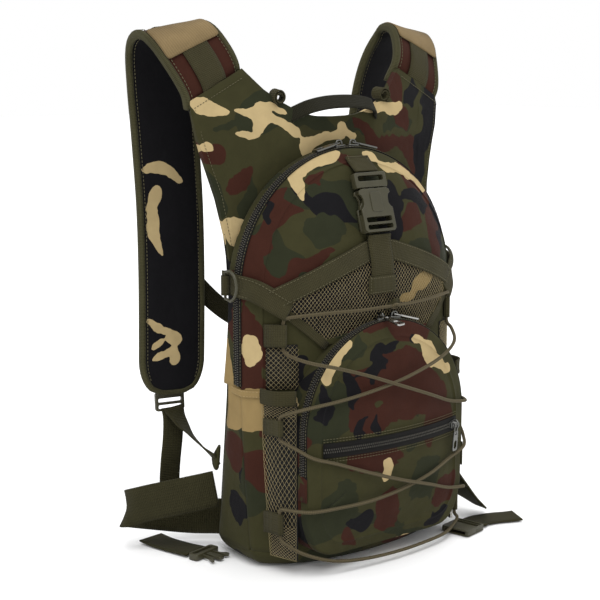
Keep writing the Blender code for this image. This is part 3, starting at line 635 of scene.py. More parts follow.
def plate(name, outlines, low, high, bevel, look):
    """Flat outlines with holes, from height low to high, with rounded edges."""
    data = bpy.data.curves.new(name, "CURVE")
    data.dimensions = "2D"
    data.fill_mode = "BOTH"
    data.extrude = ((high - low) / 2 - bevel) * MM
    data.bevel_depth = bevel * MM
    data.offset = -bevel * MM
    data.bevel_resolution = 2
    for outline in outlines:
        line = data.splines.new("POLY")
        line.points.add(len(outline) - 1)
        for knot, (x, y) in zip(line.points, outline):
            knot.co = (x * MM, y * MM, 0, 1)
        line.use_cyclic_u = True
    holder = bpy.data.objects.new(name, data)
    bpy.context.scene.collection.objects.link(holder)
    graph = bpy.context.evaluated_depsgraph_get()
    mesh = bpy.data.meshes.new_from_object(holder.evaluated_get(graph))
    bpy.data.objects.remove(holder)
    obj = bpy.data.objects.new(name, mesh)
    bpy.context.scene.collection.objects.link(obj)
    mesh.transform(Matrix.Translation((0, 0, (low + high) / 2 * MM)))
    mesh.materials.clear()
    mesh.materials.append(look)
    mesh.shade_smooth()
    mesh.set_sharp_from_angle(angle=math.radians(50))
    return obj


def plates(name, layers, look, size=(1, 1, 1)):
    """Flat layers of one moulding, each with its outlines, its two heights and its bevel."""
    sx, sy, sz = size
    made = []
    for outlines, low, high, bevel in layers:
        shaped = [[(x * sx, y * sy) for x, y in line] for line in outlines]
        made.append(plate(name, shaped, low * sz, high * sz, bevel, look))
    return made


def rounded(x0, x1, y0, y1, radius):
    steps = 5
    out = []
    for x, y, start in ((x1, y0, -90), (x1, y1, 0), (x0, y1, 90), (x0, y0, 180)):
        cx = x - radius if x == x1 else x + radius
        cy = y - radius if y == y1 else y + radius
        for step in range(steps + 1):
            turn = math.radians(start + 90 * step / steps)
            out.append((cx + radius * math.cos(turn), cy + radius * math.sin(turn)))
    return out


def rumple(obj, depth, scale, seed, held=()):
    """Soft creases: move each point along its normal by a smooth noise, but not the held ones."""
    held = set(held)
    for vert, normal in zip(obj.data.vertices, [v.normal.copy() for v in obj.data.vertices]):
        if vert.index in held:
            continue
        where = vert.co * scale + Vector((seed, seed * 2.1, seed * 0.3))
        vert.co += normal * noise.noise(where) * depth * MM


# ---- the bag's surfaces ----

def half_width(z):
    if z > ARCH_Z:
        return math.sqrt(max(0.0, ARCH_R ** 2 - (z - ARCH_Z) ** 2))
    return ARCH_R - 12.0 * max(0.0, (ZIP_END_Z - z) / ZIP_END_Z) ** 1.5


def rear_y(z):
    return 10 + 50 * max(0.0, (260 - z) / 260) ** 1.4


def front_y(x, z):
    inset = half_width(z) - abs(x)
    ease = SIDE_EASE
    if z > ARCH_Z:
        rise = z - ARCH_Z
        radius = math.hypot(x, rise)
        inset = ARCH_R - radius
        if radius > 0:
            ease += (TOP_EASE - SIDE_EASE) * (rise / radius) ** 2 * min(1.0, rise / 50)
    lip = LIP * min(1.0, max(inset, 0) / 0.5)
    return EDGE_Y - lip - (BULGE - LIP) * (1 - math.exp(-max(inset, 0) / ease))


def panel_y(x, z):
    rise = clamp((z - 280) / 120)
    sweep = 19 * max(0.0, (abs(x) - 50) / 111) ** 1.3
    return rear_y(z) + sweep * rise + 12 * max(0.0, (z - 440) / 48)


def laid_on(x, z, proud):
    """A point that stands proud of the bag's front."""
    return Vector((x, front_y(x, z) - proud, z))


def front_out(x, z):
    """Outward direction of the bag's front."""
    step = 2.0
    slope_x = (front_y(x + step, z) - front_y(x - step, z)) / (2 * step)
    slope_z = (front_y(x, z + step) - front_y(x, z - step)) / (2 * step)
    return Vector((slope_x, -1, slope_z)).normalized()


def over_front(points):
    """Across directions for a strip that runs through the points and lies on the bag's front."""
    return [way.cross(front_out(p.x, p.z)) for p, way in zip(points, directions(points))]


def arch(radius, centre_z, end_z, steps, side=12):
    """A tombstone outline from the left end over the top to the right end, as (x, z, outward)."""
    out = []
    for i in range(side):
        out.append((-radius, end_z + (centre_z - end_z) * i / side, (-1, 0)))
    for i in range(steps + 1):
        turn = math.pi * i / steps
        out.append((-radius * math.cos(turn), centre_z + radius * math.sin(turn),
                    (-math.cos(turn), math.sin(turn))))
    for x, z, (a, b) in reversed(out[:side]):
        out.append((-x, z, (-a, b)))
    return out


# ---- materials in use ----

def make_looks():
    looks = {
        "yoke": camo("camo_yoke", YOKE, 0.31, random=0.86),
        "front": camo("camo_front", FRONT, 0.12, random=0.95),
        "side": camo("camo_side", SIDE, 0.55, sideways=True, random=0.9),
        "pocket": camo("camo_pocket", POCKET, 0.77, random=0.93),
        "rim": camo("camo_rim", RIM, 0.05, random=0.95),
        "strap": camo("camo_strap", [("brown", [(0, 500, 400, 60, 0)])], 0.4, random=0.95),
        "strap_inside": camo("strap_inside", STRAP_INSIDE, 0.2, base="black", random=0.0),
        "webbing": webbing("olive_webbing", OLIVE),
        "belt": webbing("belt_webbing", (0.034, 0.031, 0.014), 1.9, 3.0),
        "dark_webbing": webbing("dark_webbing", (0.019, 0.018, 0.011), 1.6, 2.0),
        "binding": webbing("binding", (0.058, 0.054, 0.026), 1.5, 5.0, 0.3, 0.5),
        "elastic": webbing("elastic", (0.19, 0.135, 0.066), 60.0, 2.6, 0.5, 0.5),
        "hem": webbing("elastic_hem", (0.042, 0.037, 0.017), 1.4, 2.0),
        "plastic": plain("plastic", (0.040, 0.037, 0.019), 0.38, specular=0.35),
        "metal": plain("gunmetal", (0.13, 0.13, 0.12), 0.3, 1.0, mottle=0.15),
        "bright": plain("bright_metal", (0.36, 0.355, 0.34), 0.26, 1.0, mottle=0.1),
        "tape": webbing("zip_tape", (0.010, 0.0095, 0.009), 1.0, 1.2, 0.15, 0.4),
        "coil": plain("zip_coil", (0.060, 0.056, 0.046), 0.4, specular=0.3),
        # Near black: the sleeve's own lining colour, and painted shade on the sheets behind the side and
        # upper nets
        "lining": plain("lining", (0.007, 0.007, 0.0065), 0.7),
        "net": plain("net_strand", STRAND, 0.7),
        "thread": plain("thread", (0.10, 0.09, 0.05), 0.7),
        "tan_thread": plain("tan_thread", (0.30, 0.22, 0.11), 0.7),
        "cord": braid("cord", (0.082, 0.067, 0.038)),
        "air_mesh": plain("air_mesh", (0.020, 0.020, 0.018), 0.9, grain=900, depth=0.4),
        "bladder": plain("bladder_film", (0.20, 0.36, 0.55), 0.2, specular=0.5),
        # Black with a patch of shaded tan: painted shade for the sheet behind the V net
        "net_back": camo("net_back", [("shaded_tan", [(62, 277, 20, 9, -18), (38, 262, 11, 5, 0)])], 0.9,
                         base="black", random=0.0),
    }
    return looks


# ---- the bag ----

def front_columns():
    """Outline points with the direction that runs in from each, from base left to base right."""
    levels = [18, 30, 46, 66, 90, 114, 138, 160, 176, 184, 192, 208, 226, 244, 260]
    columns = [(-1, z, None) for z in levels]
    steps = 40
    for i in range(steps + 1):
        columns.append((0, 0, math.pi * i / steps))
    columns += [(1, z, None) for z in reversed(levels)]
    return columns


INSETS = (0, 0.6, 2.5, 5, 8, 10.6, 11.8, 12.5, 13.2, 14.4, 17, 21, 27, 35, 45, 56, 68, 82, 97, 113)


def relief(inset):
    """How far the rim's piping stands out of the cloth."""
    ridge = 1.5 * math.exp(-((inset - SEAM) / 0.9) ** 2)
    return ridge - 0.9 * math.exp(-((inset - SEAM - 2.6) / 1.6) ** 2)


def build_front_fabric(looks):
    """One sheet from the base over the fold to the main zip, pinned at its edge, piping and base."""
    rows = []
    for sign, z, turn in front_columns():
        row = []
        for inset in INSETS:
            if turn is None:
                wide = half_width(z)
                x = sign * max(0.0, wide - inset) if inset < INSETS[-1] else 0.0
                row.append(laid_on(x, z, relief(inset)))
            else:
                radius = max(0.0, ARCH_R - inset) if inset < INSETS[-1] else 0.0
                x, height = -radius * math.cos(turn), ARCH_Z + radius * math.sin(turn)
                row.append(laid_on(x, height, relief(inset)))
        rows.append(row)
    obj = skin("front_fabric", rows, looks["front"], (0, 0, 250))
    count = len(INSETS)
    pinned = []
    for i, vert in enumerate(obj.data.vertices):
        x, z = vert.co.x / MM, vert.co.z / MM
        netted = z < 262 or read(V_LOW, x) - 6 < z < read(V_TOP, x) + 8
        if i % count < 10 or z < 35 or (netted and abs(x) < V_HALF):
            pinned.append(i)
    rumple(obj, 3.0, 22, 3.0, pinned)
    merge_close(obj)
    thicken(obj, CLOTH, levels=1)
    bend(obj, "camo", "front_shell", "top_flap")


def build_base(looks):
    """The rounded foot of the bag and its flat bottom."""
    rows = []
    for degrees in range(0, 91, 15):
        turn = math.radians(degrees)
        z, pull = BASE_ROUND * (1 - math.cos(turn)) + 0.4, BASE_ROUND * (1 - math.sin(turn))
        wide = half_width(z)
        scale_x, scale_y = (wide - pull) / wide, (60 - pull) / 60
        back = rear_y(z) - 0.3
        edge = [(wide - 8, back), (wide - 2, back - 12), (wide, 14), (wide, ZIP_Y)]
        points = edge + [(wide - inset, front_y(wide - inset, z)) for inset in INSETS[:-1]]
        left = [Vector((-x * scale_x, y * scale_y, z)) for x, y in points]
        right = [Vector((x * scale_x, y * scale_y, z)) for x, y in reversed(points)]
        rows.append(left + [Vector((0, front_y(0, z) * scale_y, z))] + right)
    low = rows[0]
    inner = [Vector((p.x * 0.6, p.y * 0.6 + 4, 0.4)) for p in low]
    core = [Vector((0, 8, 0.4)) for p in low]
    obj = skin("base_fabric", [core, inner] + rows, looks["front"], (0, 0, 60))
    merge_close(obj)
    thicken(obj, CLOTH, levels=1)
    put(obj, "pack", "camo")


def build_side_panels(looks):
    """The flank below the main zip's end, and the gusset behind the zip."""
    for side, sign in SIDES.items():
        rows = []
        for i in range(15):
            z = 16 + (ZIP_END_Z + 1 - 16) * i / 14
            wide = half_width(z)
            back = rear_y(z)
            ys = [EDGE_Y - 0.5, -2, 8, max(14, back - 22), back - 12, back - 0.3]
            ins = [0, 0, 0, 0.4, 2, 8]
            rows.append([Vector((sign * (wide - a), y, z)) for y, a in zip(ys, ins)])
        obj = skin(f"side_fabric_{side}", rows, looks["side"], (0, 20, 100))
        rumple(obj, 1.2, 25, 1.0 + sign)
        thicken(obj, CLOTH, levels=1)
        put(obj, "pack", "camo")
        path = [Vector((sign * x, y, 181 + (y - 18) * 0.05)) for x, y in
                ((127.5, 18.8), (133.2, 8), (135.4, 0), (135.8, -8), (135.6, -13))]
        for inset in (1.5, 4, 8, 13, 18):
            path.append(laid_on(sign * (135 - inset), 179.4, 1.0) + Vector((sign * 0.5, 0, 0)))
        hem = ribbon(f"side_hem_{side}", path, (0, 0, 1), 7, 1.0, looks["side"])
        put(hem, "pack", "camo")
        seam = []
        for height in (-2.4, 2.4):
            line = [p + Vector((sign * 0.4, -0.3, height)) for p in path]
            seam.append(stitches("hem_line", line, (sign, -0.4, 0), looks["tan_thread"], 3.2, 2.2, 0.3))
        sew(f"side_hem_stitches_{side}", seam)
    rows = []
    for x, z, _ in arch(ARCH_R - 0.6, ARCH_Z, ZIP_END_Z, 48):
        back = rear_y(z) - 0.3
        ys = [-2.3, 0.5, (back - 2) / 2 + 1, back - 2, back]
        rows.append([Vector((x, y, z)) for y in ys])
    obj = skin("rear_gusset_fabric", rows, looks["side"], (0, 0, 275))
    thicken(obj, CLOTH, levels=1)
    put(obj, "pack", "camo", "rear_gusset")


def zip_half(name, outline, y, side, reach, looks):
    """One stringer of a zip along an outline: its tape and its row of coil teeth."""
    path = [Vector((x, y + side * reach / 2, z)) for x, z, _ in outline]
    tape = ribbon(name + "_tape", path, (0, 1, 0), reach, 0.7, looks["tape"])
    centre = [Vector((x, y, z)) for x, z, _ in outline]
    outs = [Vector((a, 0, b)) for _, _, (a, b) in outline]
    items = []
    for point, way, share in even(centre, TOOTH_PITCH):
        low = int(share)
        out = outs[low].lerp(outs[min(low + 1, len(outs) - 1)], share - low).normalized()
        base = point + out * 0.85 + way * (TOOTH_PITCH / 2 if side > 0 else 0)
        items.append((base + Vector((0, side * 0.3, 0)), base + Vector((0, side * 2.6, 0)), 0.55))
    coil = beads(name + "_coil", items, looks["coil"])
    edge = [p + Vector((0, side * (reach / 2 - 1.2), 0)) + o * 0.4 for p, o in zip(path, outs)]
    sewn = stitches(name + "_sewn", edge, outs, looks["thread"], 3.4, 2.2, 0.33)
    return fused(name, [tape, coil, sewn])


def build_main_zip(looks):
    outline = arch(ARCH_R + 0.5, ARCH_Z, ZIP_END_Z + 2, 60, 14)
    front = zip_half("main_zip_front", outline, ZIP_Y, -1, 6.5, looks)
    bend(front, "zip", "main_zip")
    rear = zip_half("main_zip_rear", outline, ZIP_Y, 1, 6.0, looks)
    put(rear, "pack", "zip")


def make_slider(name, origin, along, out, body, looks, swivel=False):
    """A zip slider: two shaped plates round the coil, and a bridge for the pull."""
    shape = [(-6.4, -2.4), (-3.5, -3.7), (1.5, -4.2), (5.0, -4.0), (6.5, -2.6)]
    shape += [(x, -y) for x, y in reversed(shape)]
    neck = rounded(3.4, 6.0, -1.2, 1.2, 0.6)
    layers = [([shape], 1.9, 3.3, 0.45), ([shape], 0.5, 1.3, 0.3), ([neck], 0.8, 2.4, 0.2)]
    parts = plates(name, layers, looks["metal"])
    points = [(-3.7, 0, 3.0), (-3.5, 0, 5.6), (-2.2, 0, 7.3), (0, 0, 7.8), (2.2, 0, 7.3),
              (3.5, 0, 5.6), (3.7, 0, 3.0)]
    if swivel:
        points = [(y, x, z) for x, y, z in points]
    bridge = tube(name + "_bridge", curve_through(points, 3), 0.85, looks["metal"], 8)
    obj = fused(name + "_body", parts + [bridge])
    obj.matrix_world = frame_of(origin, along, out)
    put(obj, body, "metal", name)


def make_pull(name, origin, along, out, droop, look, length=31.0):
    """A wire link through the slider's bridge, and a flat paddle with a long hole."""
    link = [(9.6 * 0.5 + 5.2 * math.cos(a) - 0.4, 2.7 * math.sin(a), 0)
            for a in [2 * math.pi * i / 24 for i in range(24)]]
    ring = tube(name + "_link", link, 0.72, look, 8, closed=True)
    bake(ring)
    outer = rounded(6.8, length, -4.6, 4.6, 2.2)
    outer = [(x, y * (0.78 + 0.22 * min(1.0, (x - 6.8) / 7))) for x, y in outer]
    holes = [rounded(8.1, 10.9, -1.7, 1.7, 1.2), rounded(length - 11, length - 2.4, -2.6, 2.6, 2.5)]
    flat = plate(name, [outer] + holes, -0.85, 0.85, 0.35, look)
    obj = fused(name + "_paddle", [flat, ring])
    along, out = Vector(along).normalized(), Vector(out).normalized()
    turn = Matrix.Rotation(-droop, 3, along.cross(out))
    obj.matrix_world = frame_of(origin, turn @ along, turn @ out)
    put(obj, name, "metal", name)


def build_sliders(looks):
    rest = math.radians(MAIN_SLIDER_TURN)
    droop = math.radians(PULL_DROOP)
    for side, sign in SIDES.items():
        out = Vector((sign * math.sin(rest), 0, math.cos(rest)))
        along = Vector((sign * math.cos(rest), 0, -math.sin(rest)))
        seat = Vector((0, ZIP_Y, ARCH_Z)) + out * ARCH_R
        make_slider(f"main_slider_{side}", seat, along, out, f"main_slider_{side}", looks)
        make_pull(f"main_pull_{side}", seat + out * EYE, along, out, droop, looks["metal"])
    for side, sign, degrees in (("left", -1, 3.0), ("right", 1, 6.5)):
        turn = math.radians(degrees)
        out = Vector((sign * math.sin(turn), 0, math.cos(turn)))
        chain = Vector((sign * math.cos(turn), 0, -math.sin(turn)))
        seat = Vector((0, POCKET_ZIP_Y, POCKET_Z)) + out * POCKET_R
        hangs = side == "left"
        make_slider(f"pocket_slider_{side}", seat, chain, out, f"pocket_slider_{side}", looks, hangs)
        way = (0, -1, 0) if hangs else chain
        make_pull(f"pocket_pull_{side}", seat + out * EYE, way, out, droop, looks["bright"])


def face_arc(x):
    return FACE_Y - 1.6 + FACE_ZIP_R - math.sqrt(FACE_ZIP_R ** 2 - x ** 2)


def build_face_zip(looks):
    xs = [-88 + 176 * i / 44 for i in range(45)]
    parts = []
    for side in (-1, 1):
        path = [Vector((x, face_arc(x) - 1.0, FACE_ZIP_Z + side * 3.6)) for x in xs]
        parts.append(ribbon("face_tape", path, (0, 0, 1), 7.2, 1.0, looks["tape"]))
        line = [Vector((x, face_arc(x) - 1.6, FACE_ZIP_Z)) for x in xs]
        items = []
        for point, way, _ in even(line, TOOTH_PITCH):
            base = point + Vector((0, -0.5, 0)) + way * (TOOTH_PITCH / 2 if side > 0 else 0)
            items.append((base + Vector((0, 0, side * 0.3)), base + Vector((0, 0, side * 2.4)), 0.55))
        parts.append(beads("face_coil", items, looks["coil"]))
        for height in (8.6, 11.2):
            sewn = [Vector((x, face_arc(x) - 0.6, FACE_ZIP_Z + side * height)) for x in xs]
            parts.append(stitches("face_sewn", sewn, (0, -1, 0), looks["thread"], 3.4, 2.2, 0.33))
    put(fused("face_zip_chain", parts), "pack", "zip", "face_zip")
    x = 80
    seat = Vector((x, face_arc(x) - 1.8, FACE_ZIP_Z))
    out = Vector((x, face_arc(x) - (FACE_Y - 1.6 + FACE_ZIP_R), 0)).normalized()
    chain = Vector((0, 0, 1)).cross(out)
    make_slider("face_slider", seat, chain, out, "face_slider", looks, True)
    make_pull("face_pull", seat + out * EYE, (0, 0, -1), out, math.radians(4), looks["metal"], 28)


# ---- the front pocket ----

def pocket_outline():
    """The pocket's outline as (x, z, outward), once round from the left side."""
    points = arch(POCKET_R, POCKET_Z, 56, 40, 8)
    corner, low = 30.0, 18.0
    right = [(99 - corner + corner * math.cos(a), low + corner - corner * math.sin(a),
              (math.cos(a), -math.sin(a))) for a in [math.radians(d) for d in (10, 30, 50, 70, 90)]]
    base = [(x, low, (0, -1)) for x in (50, 30, 10, -10, -30, -50)]
    left = [(-x, z, (-a, b)) for x, z, (a, b) in reversed(right)]
    return points + right + base + left


def build_front_pocket(looks):
    outline = pocket_outline()
    back = POCKET_ZIP_Y + 4.0
    rows = []
    for share in (0, 0.3, 0.65, 1):
        row = []
        for x, z, _ in outline:
            start = front_y(x, z) + 1
            row.append(Vector((x, start + (back - start) * share, z)))
        rows.append(row)
    gusset = skin("pocket_gusset_fabric", rows, looks["rim"], (0, -50, 125), closed=True)
    put(thicken(gusset, CLOTH, levels=1), "pack", "camo", "pocket_gusset")

    scales = (1, 0.985, 0.955, 0.92, 0.892, 0.88, 0.874, 0.868, 0.85, 0.81, 0.75, 0.67, 0.58, 0.48, 0.38,
              0.28, 0.18, 0.09, 0.0)
    rows = []
    for x, z, _ in outline:
        rim = POCKET_ZIP_Y - 4.0 if z > POCKET_ZIP_END_Z else POCKET_ZIP_Y + 3.5
        row = [Vector((x, rim, z)), Vector((x, rim - 1.2, z))]
        for scale in scales:
            y = -73.5 - 16.5 * (1 - scale ** 2)
            y -= 1.3 * math.exp(-((scale - 0.874) / 0.012) ** 2)
            y += 0.9 * math.exp(-((scale - 0.85) / 0.02) ** 2)
            row.append(Vector((x * scale, y, 125 + (z - 125) * scale)))
        rows.append(row)
    rows.append(rows[0])
    obj = skin("pocket_front_fabric", rows, looks["pocket"], (0, -50, 125))
    count = len(rows[0])
    pinned = [i for i, v in enumerate(obj.data.vertices)
              if i % count < 11 or abs(v.co.z - FACE_ZIP_Z * MM) < 0.014]
    rumple(obj, 2.0, 26, 8.0, pinned)
    merge_close(obj)
    thicken(obj, 1.3, levels=1)
    put(obj, "pack", "camo", "pocket_front")

    chain = arch(POCKET_R + 0.4, POCKET_Z, POCKET_ZIP_END_Z + 2, 50, 8)
    halves = [zip_half("pocket_chain", chain, POCKET_ZIP_Y, side, 5.4, looks) for side in (-1, 1)]
    put(fused("pocket_zip_chain", halves), "pack", "zip", "pocket_zip")
    for side, sign in SIDES.items():
        path = [(sign * (POCKET_R + 1.2), POCKET_ZIP_Y, z) for z in (103, 96, 88, 78)]
        tab = ribbon(f"pocket_zip_stop_{side}", path, (0, 1, 0), 13, 1.3, looks["rim"])
        put(tab, "pack", "camo")


# ---- nets ----

def net(name, place, span, rise, inside, look):
    """A diamond net on a surface: place(u, v) gives its points, inside(u, v) its outline."""
    wide, high = NET_PITCH * 0.5, NET_PITCH * 0.62
    points, faces, index = [], [], {}

    def knot(i, j):
        if (i, j) not in index:
            index[(i, j)] = len(points)
            points.append(place(i * wide, j * high))
        return index[(i, j)]

    columns = int(span / wide) + 2
    levels = int(rise / high) + 2
    for i in range(-columns, columns + 1):
        for j in range(-levels, levels + 1):
            if (i + j) % 2 and inside(i * wide, j * high):
                faces.append((knot(i, j - 1), knot(i + 1, j), knot(i, j + 1), knot(i - 1, j)))
    obj = new_object(name, points, faces, look, smooth=False)
    wire = obj.modifiers.new("strands", "WIREFRAME")
    wire.thickness = NET_STRAND * MM
    wire.use_replace = True
    wire.use_even_offset = False
    return bake(obj)


V_TOP = mirrored([(-118, 276), (-92, 290), (-50, 306), (-16, 317), (0, 318)])
V_LOW = mirrored([(-112, 262), (-104, 258), (-72, 229), (-50, 231), (-22, 240), (0, 243)])


def read(table, x):
    for (x0, z0), (x1, z1) in zip(table, table[1:]):
        if x <= x1:
            return z0 + (z1 - z0) * (x - x0) / (x1 - x0)
    return table[-1][1]


def build_v_pocket(looks):
    xs = [-108 + 216 * i / 36 for i in range(37)]
    rows = [[laid_on(x, read(V_LOW, x) * (1 - s) + (read(V_TOP, x) - 14) * s, 1.0) for x in xs]
            for s in (0, 0.25, 0.5, 0.75, 1)]
    # A dark sheet just proud of the front, behind the V net: painted shade of the pocket's inside
    back = skin("v_net_shade_sheet", rows, looks["net_back"], (0, 0, 270))
    put(thicken(back, 0.4, 1.0), "pack", "lining")

    def place(u, v):
        x, z = u, 270 + v
        swell = 2.4 + 1.2 * noise.noise(Vector((x, z, 0)) * 0.03)
        return laid_on(x, z, swell)

    def inside(u, v):
        return abs(u) < 106 and read(V_LOW, u) + 1 < 270 + v < read(V_TOP, u) - 12

    mesh = net("v_net", place, 112, 50, inside, looks["net"])
    put(mesh, "pack", "mesh", "v_mesh_pocket")

    band = mirrored([(-121, 269), (-100, 280), (-70, 293), (-40, 304), (-15, 312), (0, 313.5)])
    points = [laid_on(p.x, p.y, 3.2) for p in curve_through(band, 5)]
    across = over_front(points)
    obj = ribbon("v_webbing", points, across, 20, 1.5, looks["webbing"])
    bend(obj, "webbing", "v_webbing_apex")
    outs = [front_out(p.x, p.z) for p in points]
    lines = []
    for shift in (-8.4, 8.4):
        line = [p + a.normalized() * shift + out * 0.8 for p, a, out in zip(points, across, outs)]
        lines.append(stitches("v_sewn", line, outs, looks["thread"], 3.6, 2.4, 0.34))
    bend(fused("v_webbing_stitches", lines), "webbing")
    for side, sign in SIDES.items():
        corner = [(116, 268), (104, 258), (88, 244), (72, 230), (66, 224)]
        points = [laid_on(sign * x, z, 2.6) for x, z in corner]
        strip(f"net_binding_{side}", points, over_front(points), 9, 1.4, looks["webbing"])
    low = [laid_on(x, read(V_LOW, x) - 1.5, 2.4) for x in range(-72, 73, 8)]
    strip("net_foot", low, over_front(low), 6, 1.2, looks["rim"])


def side_rows(sign, levels, lift=0.0):
    """Rows of points over a side pocket, from the flank to the front pocket."""
    rows = []
    for z, bulge in levels:
        rear_x = half_width(z) - 12
        rear = Vector((rear_x + 1.4, front_y(rear_x, z) - 1.4))
        fore = Vector((POCKET_R + 2.4, -60.0))
        way = (fore - rear).normalized()
        out = Vector((-way.y, way.x))
        if out.x < 0:
            out = -out
        row = []
        for i in range(17):
            share = i / 16
            spot = rear.lerp(fore, share) + out * (bulge * math.sin(math.pi * share) + lift)
            row.append(Vector((sign * spot.x, spot.y, z)))
        rows.append(row)
    return rows


def build_side_pockets(looks):
    levels = [(16, 0.5), (34, 2), (50, 3), (90, 5), (130, 5), (160, 4), (174, 5)]
    for side, sign in SIDES.items():
        dense = []
        for (z0, b0), (z1, b1) in zip(levels, levels[1:]):
            dense += [(z0 + (z1 - z0) * i / 3, b0 + (b1 - b0) * i / 3) for i in range(3)]
        dense.append(levels[-1])
        rows = side_rows(sign, dense)

        def place(u, v):
            row = min(len(rows) - 1.001, max(0.0, (v + 80) / 160 * (len(rows) - 1)))
            share = min(15.999, max(0.0, (u + 16) / 32 * 16))
            r, c = int(row), int(share)
            low = rows[r][c].lerp(rows[r][c + 1], share - c)
            high = rows[r + 1][c].lerp(rows[r + 1][c + 1], share - c)
            return low.lerp(high, row - r)

        def inside(u, v):
            return abs(u) < 16.5 and abs(v) < 80.5

        mesh = net(f"side_net_{side}", place, 18, 84, inside, looks["net"])
        put(mesh, "pack", "mesh", f"side_pocket_{side}")
        # A dark sheet under each side net: painted shade of the pocket's inside
        back = grid(f"side_net_shade_sheet_{side}", side_rows(sign, [(z, b * 0.3) for z, b in dense], -2.4),
                    looks["lining"])
        put(thicken(back, 0.3), "pack", "lining")
        hem = side_rows(sign, [(179, 7.5)], 0.8)[0]
        strip(f"side_elastic_{side}", hem, (0, 0, 1), 15, 1.8, looks["hem"], crown=0.5)

        def flat(u, v):
            z = 206 + v
            return laid_on(sign * (half_width(z) - 28 + u), z, 1.8)

        def within(u, v):
            return abs(u) < 13 and abs(v) < 21

        upper = net(f"upper_net_{side}", flat, 14, 22, within, looks["net"])
        put(upper, "pack", "mesh")
        # A dark sheet under each upper net: painted shade
        shade = [[laid_on(sign * (half_width(z) - 28 + u), z, 0.7) for u in (-13, -4, 4, 13)]
                 for z in (184, 200, 214, 228)]
        put(thicken(grid(f"upper_net_shade_sheet_{side}", shade, looks["lining"]), 0.3), "pack", "lining")


# ---- lacing ----

LOOP_SPANS = {"left": ((250, 225), (159, 140), (66, 42)),
              "right": ((254, 229), (142, 123), (40, 19))}
LOOP_CORES = ((108, -43.5), (118, -50.5), (118, -50.5))
LACE = [
    (8.3, -68, 257), (-30, -67, 257), (-65, -62, 257.5), (-92, -54, 256.5), (-105, -47, 255),
    (-108, -43.5, 251.5), (-108, -43.5, 238), (-108, -43.5, 223.5),
    (-106.5, -51, 219), (-97, -69, 214), (-74, -84.5, 208), (-40, -92, 197), (0, -96.5, 182),
    (40, -93, 167), (74, -85, 154), (100, -79.8, 149), (111, -68.8, 147), (117, -57, 146),
    (118, -50.5, 143.5), (118, -50.5, 132), (118, -50.5, 120.5),
    (117, -57, 115), (111, -68.8, 107), (100, -79.8, 100), (74, -85, 93), (40, -91.5, 84),
    (0, -92.6, 76), (-40, -92, 72), (-74, -85, 70), (-100, -79.8, 70), (-111, -68.8, 70),
    (-117, -57, 70), (-118, -50.5, 67.5), (-118, -50.5, 54), (-118, -50.5, 40.5),
    (-116, -57, 35), (-102, -68, 25), (-75, -78, 15), (-40, -82, 10), (0, -84, 8.5),
    (40, -82, 8.5), (78, -76, 9), (102, -65, 10.5), (116, -57, 13.5),
    (118, -50.5, 17), (118, -50.5, 29), (118, -50.5, 41.5),
    (117, -57, 47), (111, -68.8, 52), (100, -79.8, 57), (74, -85, 62), (40, -92.5, 74),
    (0, -96.8, 87), (-40, -92.5, 101), (-74, -85, 114), (-100, -79.8, 123), (-111, -68.8, 131),
    (-117, -57, 136), (-118, -50.5, 139), (-118, -50.5, 150), (-118, -50.5, 160),
    (-116, -57, 164), (-110, -69, 169), (-98, -79, 173), (-72, -85, 176), (-40, -90.5, 181),
    (0, -92.5, 188), (40, -90, 197), (70, -83.5, 205), (92, -72, 213), (105, -54, 221),
    (108, -43.5, 226.5), (108, -43.5, 242), (108, -43.5, 255),
    (104, -48, 258), (88, -56, 258.5), (62, -64, 258), (36, -67.5, 257), (15.7, -68, 257),
]


def build_lacing(looks):
    path = curve_through(LACE, 5)
    put(tube("bungee", path, CORD / 2, looks["cord"], 10), "pack", "cord", "bungee_cord")
    knot = [(7.5, -68.4, 256), (11, -70.4, 258.6), (15.6, -69.6, 257.6), (15.8, -66.6, 255.4),
            (11.4, -65.9, 254.6), (8.2, -67.2, 256.6)]
    put(tube("bungee_knot", curve_through(knot, 4), 1.7, looks["cord"], 8), "pack", "cord")
    tab = [(5, -61, 254.5), (9, -64.5, 257), (12, -67.4, 260), (17, -66.6, 260), (22, -62.5, 257)]
    strip("bungee_tab", curve_through(tab, 4), (0.55, 0.2, 0.8), 7.5, 1.2, looks["webbing"],
          "bungee_anchor")
    for side, sign in SIDES.items():
        for index, (top, bottom) in enumerate(LOOP_SPANS[side]):
            x, y = LOOP_CORES[index]
            run = Vector((0.766, 0.643)) if index == 0 else Vector((0.3, 0.954))
            core = Vector((sign * x, y))
            back = Vector((sign * run.x, run.y))
            out = Vector((sign * run.y, -run.x))
            radius = CORD / 2 + 1.0
            plan = [core + back * 19 + out * 0.95, core + back * 6 + out * 1.3]
            for step in range(13):
                turn = math.radians(115 - 230 * step / 12)
                plan.append(core - back * radius * math.cos(turn) + out * radius * math.sin(turn))
            plan += [core + back * 6 - out * 1.3, core + back * 19 - out * 0.95]
            path = [(p.x, p.y, (top + bottom) / 2) for p in plan]
            strip(f"loop_{side}_{index + 1}", path, (0, 0, 1), top - bottom - 3, 1.1,
                  looks["webbing"], f"lace_loop_{side}_{index + 1}")


# ---- centre strap and its buckle ----

def front_slope(z):
    return Vector((0, front_y(0, z + 4) - front_y(0, z - 4), 8)).normalized()


